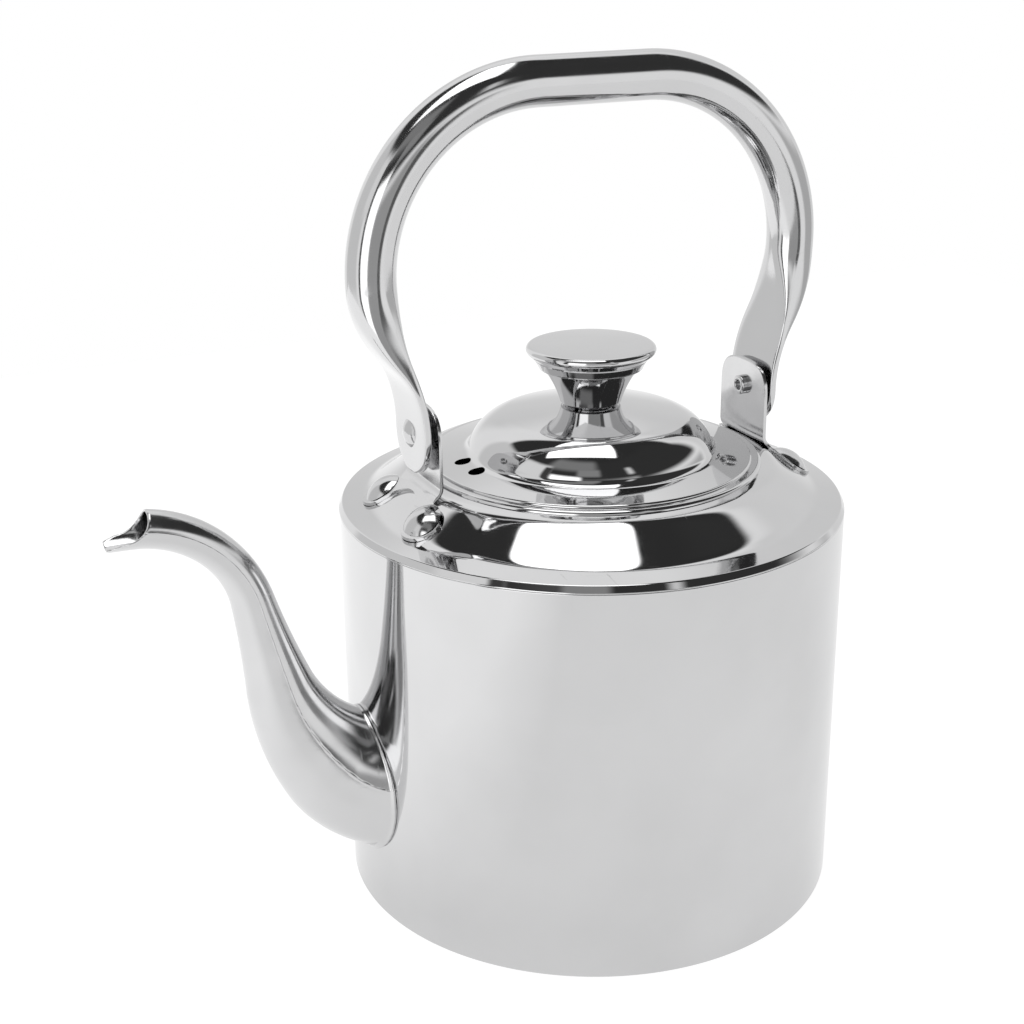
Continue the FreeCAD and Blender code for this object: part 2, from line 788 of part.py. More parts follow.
def make_bracket_rivets():
    seat_face = d.flange_thickness + d.seam_gap * 2
    tail_face = -gauge - d.seam_gap * 2
    rivets = []
    for name, side_x in (("rear", 1), ("front", -1)):
        for hand, side_y in (("near", -1), ("far", 1)):
            rivet = turned(f"{name}_rivet_{hand}", [
                (zero, tail_face - d.rivet_tail_height),
                (d.rivet_tail_radius, tail_face - d.rivet_tail_height),
                (d.rivet_tail_radius, tail_face),
                (d.rivet_radius, tail_face),
                (d.rivet_radius, seat_face),
                (d.rivet_head_radius, seat_face),
                (zero, seat_face + d.rivet_head_height),
            ], {5: (cap_radius(d.rivet_head_radius, d.rivet_head_height), 1)})
            rivets.append(place(rivet, **rivet_spot(side_x, side_y, zero)))
    return rivets


def make_pivots():
    tail_face = ear_inner - d.seam_gap
    tail_end = tail_face - d.pivot_tail_length
    head_face = end_outer + d.seam_gap
    rivet = turned("rear_pivot_rivet", [
        (zero, tail_end + d.pivot_bore_depth),
        (d.pivot_bore_radius, tail_end + d.pivot_bore_depth),
        (d.pivot_bore_radius, tail_end),
        (d.pivot_tail_radius, tail_end),
        (d.pivot_tail_radius, tail_face),
        (d.pivot_radius, tail_face),
        (d.pivot_radius, head_face),
        (d.pivot_head_radius, head_face),
        (zero, head_face + d.pivot_head_height),
    ], {7: (cap_radius(d.pivot_head_radius, d.pivot_head_height), 1)})
    place(rivet, z=pivot_height, pitch=Size(90))
    washer = turned("rear_pivot_washer", [
        (pivot_hole, ear_outer + d.seam_gap),
        (d.washer_radius, ear_outer + d.seam_gap),
        (d.washer_radius, washer_face),
        (pivot_hole, washer_face),
    ])
    place(washer, z=pivot_height, pitch=Size(90))
    front = [mirrored("front_pivot_rivet", rivet), mirrored("front_pivot_washer", washer)]
    return [rivet, washer] + front


nodes = [make_body_wall(), make_base_pan(), make_shoulder(), make_lid_shell(), make_lid_skirt()]
nodes += make_knob() + make_knob_fixing() + make_spout()
nodes += [make_handle()] + make_brackets() + make_bracket_rivets() + make_pivots()
doc.recompute()

for item in doc.Objects:
    if "Invalid" in item.State or "Error" in item.State:
        raise RuntimeError(f"{item.Label} failed: {item.State}")
for node in nodes:
    node.Label = node.Name
    if node.Shape.isNull() or not node.Shape.isValid():
        raise RuntimeError(f"{node.Label} has no valid shape")

os.makedirs("parts", exist_ok=True)
for node in nodes:
    node.Shape.exportStep(f"parts/{node.Label}.step")
    print(f"{node.Label}: {len(node.Shape.Solids)} solid, {node.Shape.Volume:.0f} mm3")
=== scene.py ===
import bmesh
import bpy
import json
import math
import numpy as np
from mathutils import Matrix, Vector


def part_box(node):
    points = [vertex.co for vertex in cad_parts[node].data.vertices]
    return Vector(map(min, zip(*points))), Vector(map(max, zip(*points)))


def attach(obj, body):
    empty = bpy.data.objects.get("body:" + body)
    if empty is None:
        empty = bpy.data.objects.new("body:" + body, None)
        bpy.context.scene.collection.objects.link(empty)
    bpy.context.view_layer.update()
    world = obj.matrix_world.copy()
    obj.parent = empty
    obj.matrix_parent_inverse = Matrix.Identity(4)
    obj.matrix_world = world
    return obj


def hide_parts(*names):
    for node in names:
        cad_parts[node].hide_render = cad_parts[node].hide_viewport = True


# Gooseneck kettle of mirror-polished stainless sheet. Shapes are worked out in millimetres
# in the frame's own axes and scaled to metres as each mesh is made.
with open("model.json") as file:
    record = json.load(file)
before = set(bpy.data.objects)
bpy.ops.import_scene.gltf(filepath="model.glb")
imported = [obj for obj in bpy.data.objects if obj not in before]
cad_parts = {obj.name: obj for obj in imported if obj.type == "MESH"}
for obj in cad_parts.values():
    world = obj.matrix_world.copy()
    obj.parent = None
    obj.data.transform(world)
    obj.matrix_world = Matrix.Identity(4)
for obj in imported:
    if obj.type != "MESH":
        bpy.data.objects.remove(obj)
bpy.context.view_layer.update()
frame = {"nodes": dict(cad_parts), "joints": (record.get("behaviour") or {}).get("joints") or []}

MM = 0.001


def low_corner(node):
    """Lowest corner of a node's box, in millimetres."""
    return np.array(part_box(node)[0]) / MM


def high_corner(node):
    """Highest corner of a node's box, in millimetres."""
    return np.array(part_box(node)[1]) / MM


# Sizes read from the frame
BODY_RADIUS = high_corner("body_wall")[0]
SEAM_HEIGHT = high_corner("body_wall")[2]
SEAT = low_corner("lid_shell")[2]
LID_RADIUS = high_corner("lid_shell")[0]
LAND = low_corner("knob_cone")[2]
WAIST = high_corner("knob_cone")[2]
CAP_FOOT = low_corner("knob_cap")[2]
CAP_RADIUS = high_corner("knob_cap")[0]
CAP_TOP = high_corner("knob_cap")[2]
GRIP_TOP = high_corner("handle_tube")[2]
EAR_INNER = low_corner("rear_bracket")[0]
EAR_TOP = high_corner("rear_bracket")[2]
PIVOT_HEIGHT = next(j for j in frame["joints"] if j["name"] == "handle_swing")["pos_m"][2] / MM

# Sheet sizes
GAUGE = 0.8
SEAM_GAP = 0.05
NECK_RADIUS = 50.3
NECK_BEAD = 1.1
MOUTH_RADIUS = 43.5
MOUTH_ROUND = 1.5
MOUTH_LIP_DEPTH = 5.0

# Grids: sides of a turned piece and of a small one, the support loop beside an edge that keeps a flat face
# flat and the longest share of a line it may take, and the distances below which points and edges are merged
TURN_SIDES = 256
SMALL_SIDES = 64
EDGE_LOOP = 0.12
EDGE_LOOP_SHARE = 0.25
SAME_POINT = 1e-4
MERGE_DISTANCE = 1e-6
LEAST_EDGE = 1e-7
SHARP_ANGLE = math.radians(38)


def arc(centre, radius, start, end, steps=12):
    """Points on a circle about the centre, from the start angle to the end angle in degrees."""
    angles = np.radians(np.linspace(start, end, steps + 1))
    return np.column_stack((centre[0] + radius * np.cos(angles), centre[1] + radius * np.sin(angles)))


def line(start, end, steps=2):
    """Points from start to end, with one close to each end so that shading stays flat between."""
    edge = min(EDGE_LOOP / math.dist(start, end), EDGE_LOOP_SHARE)
    shares = np.concatenate(([0.0], np.linspace(edge, 1 - edge, steps + 1), [1.0]))[:, None]
    return (1 - shares) * np.array(start) + shares * np.array(end)


def chain(*runs):
    """The runs one after another as one outline, each repeated point kept once."""
    points = np.concatenate(runs)
    apart = np.linalg.norm(np.diff(points, axis=0, prepend=points[-1:]), axis=1) > SAME_POINT
    return points[apart]


def quads_of(points, wrap):
    """Quads over a grid of points, joined up along each direction that wraps round."""
    rows, columns = points.shape[:2]
    index = np.arange(rows * columns).reshape(rows, columns)
    if wrap[0]:
        index = np.vstack((index, index[:1]))
    if wrap[1]:
        index = np.hstack((index, index[:, :1]))
    corners = (index[:-1, :-1], index[:-1, 1:], index[1:, 1:], index[1:, :-1])
    return np.stack(corners, axis=-1).reshape(-1, 4)


def make_mesh(name, grids):
    """One mesh of several grids of points in millimetres, merged where their edges meet."""
    points, quads, start = [], [], 0
    for grid, wrap in grids:
        quads.append(quads_of(grid, wrap) + start)
        points.append(grid.reshape(-1, 3) * MM)
        start += grid.shape[0] * grid.shape[1]
    mesh = bpy.data.meshes.new(name)
    mesh.from_pydata(np.concatenate(points), [], np.concatenate(quads))
    work = bmesh.new()
    work.from_mesh(mesh)
    bmesh.ops.remove_doubles(work, verts=work.verts, dist=MERGE_DISTANCE)
    bmesh.ops.dissolve_degenerate(work, edges=work.edges, dist=LEAST_EDGE)
    work.to_mesh(mesh)
    work.free()
    return mesh


def shade(mesh):
    """Smooth shading, with edges sharper than the sharp angle kept crisp."""
    mesh.polygons.foreach_set("use_smooth", np.ones(len(mesh.polygons), bool))
    mesh.set_sharp_from_angle(angle=SHARP_ANGLE)
    mesh.update()


def make_piece(name, grids, finish, body, node, cutters=()):
    """A piece of the kettle in place of its node: its grids, less its cutters, in a finish."""
    mesh = make_mesh(name, grids)
    piece = bpy.data.objects.new(name, mesh)
    bpy.context.scene.collection.objects.link(piece)
    if cutters:
        cut_away(piece, cutters)
    shade(piece.data)
    piece.data.materials.clear()
    piece.data.materials.append(finish)
    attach(piece, body)
    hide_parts(node)
    return piece


def cut_away(piece, cutters):
    """Cut each cutter's closed grid out of the piece, and keep the result as its mesh."""
    tool = bpy.data.objects.new(f"{piece.name}_cutter", make_mesh(f"{piece.name}_cutter", cutters))
    bpy.context.scene.collection.objects.link(tool)
    modifier = piece.modifiers.new("cut", "BOOLEAN")
    modifier.operation = "DIFFERENCE"
    modifier.solver = "EXACT"
    modifier.object = tool
    graph = bpy.context.evaluated_depsgraph_get()
    result = bpy.data.meshes.new_from_object(piece.evaluated_get(graph))
    piece.modifiers.clear()
    piece.data = result
    bpy.data.objects.remove(tool)


def turned_grid(outline, sides=TURN_SIDES):
    """Surface of revolution: each outline point, a radius and a height, is carried round Z."""
    angles = np.linspace(0, 2 * np.pi, sides, endpoint=False)
    radius, height = outline[:, :1], outline[:, 1:]
    grid = np.stack((radius * np.cos(angles), radius * np.sin(angles), height + 0 * angles), axis=-1)
    on_axis = outline[0, 0] == 0 and outline[-1, 0] == 0
    return grid, (not on_axis, True)


def cylinder_grid(radius, low, high, sides=SMALL_SIDES):
    """A closed cylinder about Z."""
    outline = np.array([(0.0, low), (radius, low), (radius, high), (0.0, high)])
    return turned_grid(outline, sides)


def moved(grid, matrix):
    """The same grid with every point turned and moved by the matrix."""
    points, wrap = grid
    turn = np.array(matrix.to_3x3())
    return points @ turn.T + np.array(matrix.translation), wrap


def wire(tree, kind, values, **settings):
    """A new node of a kind with its settings, each input linked to a socket or set to a number."""
    node = tree.nodes.new(kind)
    for key, value in settings.items():
        setattr(node, key, value)
    for key, value in values.items():
        if isinstance(value, bpy.types.NodeSocket):
            tree.links.new(value, node.inputs[key])
        else:
            node.inputs[key].default_value = value
    return node


def sums(tree, operation, *values):
    """One step of arithmetic on sockets and numbers."""
    return wire(tree, "ShaderNodeMath", dict(enumerate(values)), operation=operation).outputs[0]


def spread(tree, value, low, high, to_low, to_high):
    """A value between low and high carried over to another span, and held at its ends."""
    ends = {"Value": value, "From Min": low, "From Max": high, "To Min": to_low, "To Max": to_high}
    return wire(tree, "ShaderNodeMapRange", ends).outputs[0]


def noise(tree, place, scale, detail=2.0):
    """Noise between 0 and 1 at a place, with this many waves to the metre."""
    return wire(tree, "ShaderNodeTexNoise", {"Vector": place, "Scale": scale, "Detail": detail}).outputs[0]


# Steel: waves to the metre and detail of each noise, the span of it that is used and what that is spread over
STAIN_WAVES, STAIN_DETAIL = 22, 4
STAIN_SHADES = (0.95, 1.03)
WANDER_WAVES, WANDER_DETAIL = 130, 5
WANDER_SHARES = (0.7, 1.4)
NOISE_SPAN = (0.3, 0.7)
HAIR_COURSES = ((0.5, (60, 60, 1500)), (2.1, (900, 50, 80)))
HAIR_LEAN = 0.4
HAIR_SPAN = (0.70, 0.76)
HAIR_ROUGHNESS = 0.10
RING_WAVES, RING_DETAIL = 2600, 2.0
SHEET_WAVES, SHEET_DETAIL = 32, 1
SHEET_DEPTH = 6e-5
GRAIN_WAVES, GRAIN_DETAIL = 2400, 3
STAINLESS = (0.66, 0.66, 0.665)
RIVET_COLOUR = (0.62, 0.62, 0.625)
PLAIN_COLOUR = (0.55, 0.55, 0.56)


def polished_steel(name, colour, roughness, ring_depth, grain_depth):
    """Polished stainless: cloudy stains in the colour, roughness that wanders and rises on hair scratches,
    and a relief of slow waves in the sheet, polishing rings round the kettle's axis and a fine grain."""
    material = bpy.data.materials.new(name)
    material.use_nodes = True
    tree = material.node_tree
    shader = tree.nodes["Principled BSDF"]
    shader.inputs["Metallic"].default_value = 1.0
    place = tree.nodes.new("ShaderNodeTexCoord").outputs["Object"]
    cloud = noise(tree, place, STAIN_WAVES, STAIN_DETAIL)
    mixing = {"Factor": spread(tree, cloud, *NOISE_SPAN, 0.0, 1.0)}
    stain = wire(tree, "ShaderNodeMix", mixing, data_type="RGBA")
    for end, share in zip("AB", STAIN_SHADES):
        stain.inputs[end].default_value = (*(c * share for c in colour), 1)
    tree.links.new(stain.outputs["Result"], shader.inputs["Base Color"])
    wander = noise(tree, place, WANDER_WAVES, WANDER_DETAIL)
    wander = spread(tree, wander, *NOISE_SPAN, *(roughness * share for share in WANDER_SHARES))
    for turn, stretch in HAIR_COURSES:
        course = wire(tree, "ShaderNodeMapping", {"Vector": place})
        course.inputs["Rotation"].default_value = (turn, HAIR_LEAN, turn * 2)
        course.inputs["Scale"].default_value = stretch
        hair = spread(tree, noise(tree, course.outputs[0], 1.0), *HAIR_SPAN, 0.0, HAIR_ROUGHNESS)
        wander = sums(tree, "ADD", wander, hair)
    tree.links.new(wander, shader.inputs["Roughness"])
    x, y, z = wire(tree, "ShaderNodeSeparateXYZ", {"Vector": place}).outputs
    squares = sums(tree, "ADD", sums(tree, "MULTIPLY", x, x), sums(tree, "MULTIPLY", y, y))
    outline = sums(tree, "ADD", sums(tree, "SQRT", squares), z)
    along = {"W": outline, "Scale": RING_WAVES, "Detail": RING_DETAIL}
    rings = wire(tree, "ShaderNodeTexNoise", along, noise_dimensions="1D").outputs[0]
    waves = noise(tree, place, SHEET_WAVES, SHEET_DETAIL)
    grain = noise(tree, place, GRAIN_WAVES, GRAIN_DETAIL)
    normal = wire(tree, "ShaderNodeBump", {"Height": waves, "Distance": SHEET_DEPTH}).outputs[0]
    for height, depth in ((rings, ring_depth), (grain, grain_depth)):
        bump = {"Height": height, "Distance": depth, "Normal": normal}
        normal = wire(tree, "ShaderNodeBump", bump).outputs[0]
    tree.links.new(normal, shader.inputs["Normal"])
    return material


turned_steel = polished_steel("turned_steel", STAINLESS, 0.045, 1.2e-6, 4e-7)
satin_steel = polished_steel("satin_steel", STAINLESS, 0.15, 0.0, 3e-6)
drawn_steel = polished_steel("drawn_steel", STAINLESS, 0.10, 0.0, 3e-6)
rivet_steel = polished_steel("rivet_steel", RIVET_COLOUR, 0.12, 0.0, 3e-6)
plain_steel = polished_steel("plain_steel", PLAIN_COLOUR, 0.28, 6e-6, 2e-6)

# Shoulder: a pressed swell between two nearly flat shelves, one beside the neck and one beside the rim
NECK_FOOT = SEAT - NECK_BEAD
RIM_HIGH = 2.1
RIM_RUN = 1.33
RIM_FACE = 60.0
RIM_ROUND_LOW, RIM_ROUND_HIGH = 0.5, 0.6
RIM_RADIUS = BODY_RADIUS - RIM_RUN
SHELF_FALL = 0.17
SWELL_PLACE = 0.43
SWELL_HALF = 0.35
SWELL_POWER = 3
SHOULDER_RUN = RIM_RADIUS - NECK_RADIUS
SHOULDER_DROP = NECK_FOOT - SEAM_HEIGHT - RIM_HIGH
SHOULDER_SHARES = np.linspace(0, 1, 801)
SKIN_ROWS, LINING_ROWS = 60, 40


def swell(share):
    """Rise of the swell at a share of the way out: a cosine hump with a broad top, 1 in its middle."""
    place = np.clip(abs(share - SWELL_PLACE) / SWELL_HALF, 0, 1)
    return (1 + np.cos(np.pi * place ** SWELL_POWER)) / 2


SWELL_FALL = (SHOULDER_DROP / SHOULDER_RUN - SHELF_FALL) / swell(SHOULDER_SHARES).mean()


def shoulder_fall(radius):
    """Slope of the shoulder at a radius: the shelf's slope and, over the swell, the hump on top."""
    return SHELF_FALL + SWELL_FALL * swell((radius - NECK_RADIUS) / SHOULDER_RUN)


def shoulder_height(radius):
    """Height of the shoulder's outer surface at a radius: the neck's foot less the slope summed up to it."""
    share = (radius - NECK_RADIUS) / SHOULDER_RUN
    hump = swell(SHOULDER_SHARES)
    total = np.concatenate(([0], np.cumsum((hump[1:] + hump[:-1]) / 2))) / (len(hump) - 1)
    fallen = SHELF_FALL * share + SWELL_FALL * np.interp(share, SHOULDER_SHARES, total)
    return NECK_FOOT - SHOULDER_RUN * fallen


def make_body_wall():
    """Rolled wall: a thin ring with a rounded foot and top edge, and the port behind the spout."""
    inner = BODY_RADIUS - GAUGE
    round_foot = GAUGE
    round_top = 0.25
    top = SEAM_HEIGHT - SEAM_GAP
    outline = chain(
        arc((inner, round_foot), round_foot, -90, 0, steps=6),
        line((BODY_RADIUS, round_foot), (BODY_RADIUS, top - round_top), steps=40),
        arc((BODY_RADIUS - round_top, top - round_top), round_top, 0, 90, steps=4),
        line((BODY_RADIUS - round_top, top), (inner, top)),
        line((inner, top), (inner, 0), steps=40),
    )
    port = moved(cylinder_grid(PORT_RADIUS, 0, BODY_RADIUS * 2),
                 Matrix.Translation((0, 0, SPOUT_ROOT_HEIGHT)) @ Matrix.Rotation(math.radians(-90), 4, "Y"))
    make_piece("wall", [turned_grid(outline)], turned_steel, "vessel", "body_wall", [port])


def make_base_pan():
    """Pressed base: a raised middle, a ring to stand on and an upturned flange inside the wall."""
    outer = BODY_RADIUS - GAUGE - SEAM_GAP
    corner = 2.5
    middle, panel, step, recess = 0.5, 58.0, 61.0, 1.5
    flange = high_corner("base_pan")[2]
    outline = chain(
        np.array([(0.0, recess)]),
        line((middle, recess), (panel, recess)),
        line((panel, recess), (step, 0)),
        line((step, 0), (outer - corner, 0)),
        arc((outer - corner, corner), corner, -90, 0, steps=8),
        line((outer, corner), (outer, flange)),
        line((outer, flange), (outer - GAUGE, flange)),
        line((outer - GAUGE, flange), (outer - GAUGE, corner)),
        arc((outer - corner, corner), corner - GAUGE, 0, -90, steps=8),
        line((outer - corner, GAUGE), (step, GAUGE)),
        line((step, GAUGE), (panel, recess + GAUGE)),
        line((panel, recess + GAUGE), (middle, recess + GAUGE)),
        np.array([(0.0, recess + GAUGE)]),
    )
    make_piece("base", [turned_grid(outline)], plain_steel, "vessel", "base_pan")


def make_shoulder():
    """Pressed shoulder: a skirt inside the wall, a rim with a slanting face, the swell, the neck's bead, the
    lid's flat seat and the mouth's lip."""
    skirt_outer = BODY_RADIUS - GAUGE - SEAM_GAP
    skirt_inner = skirt_outer - GAUGE
    skirt_low = low_corner("shoulder")[2]
    roll_top = 90 - math.degrees(math.atan(SHELF_FALL))
    bead_centre = NECK_RADIUS - NECK_BEAD
    neck_inner = NECK_RADIUS - GAUGE
    mouth_edge = MOUTH_RADIUS + MOUTH_ROUND
    lip_low = SEAT - MOUTH_LIP_DEPTH
    rim_low = (BODY_RADIUS - RIM_ROUND_LOW, SEAM_HEIGHT + EDGE_LOOP)
    lean = math.radians(roll_top)
    rim_top = SEAM_HEIGHT + RIM_HIGH
    rim_high = (RIM_RADIUS - RIM_ROUND_HIGH * math.cos(lean), rim_top - RIM_ROUND_HIGH * math.sin(lean))
    face_low = arc(rim_low, RIM_ROUND_LOW, 0, 90 - RIM_FACE, steps=6)
    face_high = arc(rim_high, RIM_ROUND_HIGH, 90 - RIM_FACE, roll_top, steps=8)
    rise = np.linspace(RIM_RADIUS, NECK_RADIUS, SKIN_ROWS)
    skin = np.column_stack((rise, shoulder_height(rise)))
    lining = np.linspace(neck_inner, skirt_inner, LINING_ROWS)
    thick = GAUGE * np.hypot(1, shoulder_fall(lining))
    inside = np.column_stack((lining, shoulder_height(lining) - thick))
    outline = chain(
        line((skirt_outer, skirt_low), (skirt_outer, SEAM_HEIGHT)),
        line((skirt_outer, SEAM_HEIGHT), (BODY_RADIUS, SEAM_HEIGHT)),
        face_low,
        line(face_low[-1], face_high[0]),
        face_high,
        skin,
        arc((bead_centre, NECK_FOOT), NECK_BEAD, 0, 90, steps=12),
        line((bead_centre, SEAT), (mouth_edge, SEAT)),
        arc((mouth_edge, SEAT - MOUTH_ROUND), MOUTH_ROUND, 90, 180, steps=8),
        line((MOUTH_RADIUS, SEAT - MOUTH_ROUND), (MOUTH_RADIUS, lip_low)),
        line((MOUTH_RADIUS, lip_low), (MOUTH_RADIUS + GAUGE, lip_low)),
        line((MOUTH_RADIUS + GAUGE, lip_low), (MOUTH_RADIUS + GAUGE, SEAT - MOUTH_ROUND)),
        arc((mouth_edge, SEAT - MOUTH_ROUND), MOUTH_ROUND - GAUGE, 180, 90, steps=6),
        line((mouth_edge, SEAT - GAUGE), (bead_centre, SEAT - GAUGE)),
        arc((bead_centre, NECK_FOOT), NECK_BEAD - GAUGE, 90, 0, steps=8),
        inside,
        line(inside[-1], (skirt_inner, skirt_low)),
        line((skirt_inner, skirt_low), (skirt_outer, skirt_low)),
    )
    make_piece("shoulder_cone", [turned_grid(outline)], turned_steel, "vessel", "shoulder")


# Lid: rim, sloping brim, hollow foot arc, corner arc and crown arc, each tangent to the next
RIM_HEIGHT = 0.7
LID_SEAT_WIDTH = 1.0
BRIM_EDGE = 38.5
BRIM_SLOPE = 9.0
FOOT_RADIUS = 3.2
FOOT_ANGLE = 70.0
CROWN_RADIUS = 120.0
DOME_RISE = 16.06
LAND_RADIUS = 8.9
SCREW_HOLE = 2.55
VENT_PLACE_RADIUS = 39.4
VENT_ANGLE = 7.2
VENT_RADIUS = 2.4
VENT_LEAN = 26.0
VENT_REACH = (-2.5, 6.0)
VENT_SIDES = 48
RING_CHAMFER = 0.3


def lid_skin(inset):
    """Outline of the lid's skin from the brim to the land, moved inwards by an inset."""
    slope = math.radians(BRIM_SLOPE)
    brim = SEAT + RIM_HEIGHT + (LID_RADIUS - RIM_HEIGHT - BRIM_EDGE) * math.tan(slope)
    foot = (BRIM_EDGE + FOOT_RADIUS * math.sin(slope), brim + FOOT_RADIUS * math.cos(slope))
    lean = math.radians(FOOT_ANGLE)
    square = np.array((math.sin(lean), math.cos(lean)))
    turn = np.array(foot) - FOOT_RADIUS * square
    crown = SEAT + DOME_RISE - CROWN_RADIUS
    rise = turn[1] - crown
    corner = (CROWN_RADIUS ** 2 - turn[0] ** 2 - rise ** 2) / 2
    corner /= CROWN_RADIUS - turn[0] * math.sin(lean) - rise * math.cos(lean)
    centre = turn - corner * square
    joint = math.degrees(math.atan2(centre[1] - crown, centre[0]))
    land = math.degrees(math.acos(LAND_RADIUS / (CROWN_RADIUS - inset)))
    return chain(
        arc(foot, FOOT_RADIUS + inset, -90 - BRIM_SLOPE, -90 - FOOT_ANGLE, steps=24),
        arc(centre, corner - inset, 90 - FOOT_ANGLE, joint, steps=36),
        arc((0, crown), CROWN_RADIUS - inset, joint, land, steps=24),
    )


def make_lid():
    """Lid pressing with two steam vents, and the ring under it that centres it in the mouth."""
    outer, inner = lid_skin(0), lid_skin(GAUGE)
    rim = LID_RADIUS - RIM_HEIGHT
    seat_edge = (LID_RADIUS - LID_SEAT_WIDTH, SEAT)
    outline = chain(
        line(seat_edge, (LID_RADIUS, SEAT)),
        arc((rim, SEAT), RIM_HEIGHT, 0, 90 - BRIM_SLOPE, steps=12),
        line((rim, SEAT + RIM_HEIGHT), outer[0], steps=8),
        outer,
        line(outer[-1], (SCREW_HOLE, outer[-1, 1])),
        line((SCREW_HOLE, outer[-1, 1]), (SCREW_HOLE, inner[-1, 1])),
        line((SCREW_HOLE, inner[-1, 1]), inner[-1]),
        inner[::-1],
        line(inner[0], seat_edge),
    )
    vents = []
    for side in (1, -1):
        turn = Matrix.Rotation(math.radians(180 - VENT_ANGLE * side), 4, "Z")
        height = np.interp(-VENT_PLACE_RADIUS, -outer[:, 0], outer[:, 1])
        place = turn @ Matrix.Translation((VENT_PLACE_RADIUS, 0, height))
        lean = Matrix.Rotation(math.radians(VENT_LEAN), 4, "Y")
        vents.append(moved(cylinder_grid(VENT_RADIUS, *VENT_REACH, VENT_SIDES), place @ lean))
    make_piece("lid", [turned_grid(outline)], turned_steel, "lid", "lid_shell", vents)
    low = low_corner("lid_skirt")[2]
    outside, _, high = high_corner("lid_skirt")
    ring = chain(
        line((outside - GAUGE, low), (outside, low)),
        line((outside, low), (outside, high - RING_CHAMFER)),
        line((outside, high - RING_CHAMFER), (outside - GAUGE, high)),
        line((outside - GAUGE, high), (outside - GAUGE, low)),
    )
    make_piece("lid_ring", [turned_grid(ring)], plain_steel, "lid", "lid_skirt")


# Knob: a flared cone whose foot stands in a groove, and a cap that sits a little above its solid's foot. The
# cap's band is given by radius and rise: foot, step, groove and the start of the flare.
KNOB_FOOT_RADIUS = 7.4
KNOB_BASE_RADIUS = 9.05
KNOB_BASE_RISE = 1.2
KNOB_BASE_ROUND = 0.5
KNOB_BASE_SPAN = (-100, -10)
KNOB_FLARE_RADIUS = 26.0
KNOB_WAIST_RADIUS = 14.3
CAP_LIFT = 1.3
KNOB_WAIST = WAIST + CAP_LIFT
CAP_LOW = CAP_FOOT + CAP_LIFT
CAP_BAND = ((15.4, 0.4), (16.45, 2.4), (16.2, 2.65), (16.75, 2.9))
CAP_FOOT_ROUND = 0.4
CAP_RIM_ROUND = 1.4
CAP_RIM_SPAN = (-50, 87)
CAP_CROWN_RISE = 0.5
CAP_LINING = 3 * GAUGE
CAP_BORE = 11.5


def arc_through(start, end, radius, turn, steps=12):
    """Arc of a radius from start to end, turning left (turn +1) or right (turn -1)."""
    start, end = np.array(start), np.array(end)
    chord = end - start
    half = np.linalg.norm(chord) / 2
    left = np.array((-chord[1], chord[0])) / (2 * half)
    centre = (start + end) / 2 + left * turn * math.sqrt(radius ** 2 - half ** 2)
    first, last = (math.degrees(math.atan2(*(p - centre)[::-1])) for p in (start, end))
    sweep = (last - first) % 360 if turn > 0 else -((first - last) % 360)
    return arc(centre, radius, first, first + sweep, steps)


def make_knob():
    """Knob: a hollow cone on the lid's land, and the flared cap with a band, a fine groove, a rounded rim and
    a low crown."""
    base = LAND + KNOB_BASE_RISE
    edge = arc((KNOB_BASE_RADIUS - KNOB_BASE_ROUND, base), KNOB_BASE_ROUND, *KNOB_BASE_SPAN, steps=8)
    cone = chain(
        line((SCREW_HOLE, LAND), (KNOB_FOOT_RADIUS, LAND)),
        line((KNOB_FOOT_RADIUS, LAND), edge[0]),
        edge,
        arc_through(edge[-1], (KNOB_WAIST_RADIUS, KNOB_WAIST), KNOB_FLARE_RADIUS, -1, steps=16),
        line((KNOB_WAIST_RADIUS, KNOB_WAIST), (KNOB_WAIST_RADIUS - GAUGE, KNOB_WAIST)),
        line((KNOB_WAIST_RADIUS - GAUGE, KNOB_WAIST), (KNOB_FOOT_RADIUS - GAUGE, LAND + GAUGE), steps=6),
        line((KNOB_FOOT_RADIUS - GAUGE, LAND + GAUGE), (SCREW_HOLE, LAND + GAUGE)),
        line((SCREW_HOLE, LAND + GAUGE), (SCREW_HOLE, LAND)),
    )
    make_piece("knob_lower", [turned_grid(cone)], turned_steel, "lid", "knob_cone")
    foot, step, groove, flare = ((radius, CAP_LOW + rise) for radius, rise in CAP_BAND)
    crown = (CAP_RADIUS - CAP_RIM_ROUND, CAP_TOP - CAP_CROWN_RISE)
    rim = arc((crown[0], crown[1] - CAP_RIM_ROUND), CAP_RIM_ROUND, *CAP_RIM_SPAN, steps=16)
    crown_radius = (crown[0] ** 2 + CAP_CROWN_RISE ** 2) / (2 * CAP_CROWN_RISE)
    lining = (CAP_RADIUS - CAP_LINING, CAP_TOP - CAP_LINING)
    cap = chain(
        line((CAP_BORE, CAP_LOW), (foot[0] - CAP_FOOT_ROUND, CAP_LOW)),
        arc((foot[0] - CAP_FOOT_ROUND, foot[1]), CAP_FOOT_ROUND, -90, 0, steps=6),
        line(foot, step, steps=4),
        line(step, groove),
        line(groove, flare),
        line(flare, rim[0], steps=4),
        rim,
        arc_through(rim[-1], (0, CAP_TOP), crown_radius, 1, steps=16),
        arc_through((0, CAP_TOP - GAUGE), lining, crown_radius, -1, steps=10),
        line(lining, (foot[0] - GAUGE, CAP_LOW + GAUGE)),
        line((foot[0] - GAUGE, CAP_LOW + GAUGE), (CAP_BORE, CAP_LOW + GAUGE)),
        line((CAP_BORE, CAP_LOW + GAUGE), (CAP_BORE, CAP_LOW)),
    )
    make_piece("knob_upper", [turned_grid(cap)], turned_steel, "lid", "knob_cap")


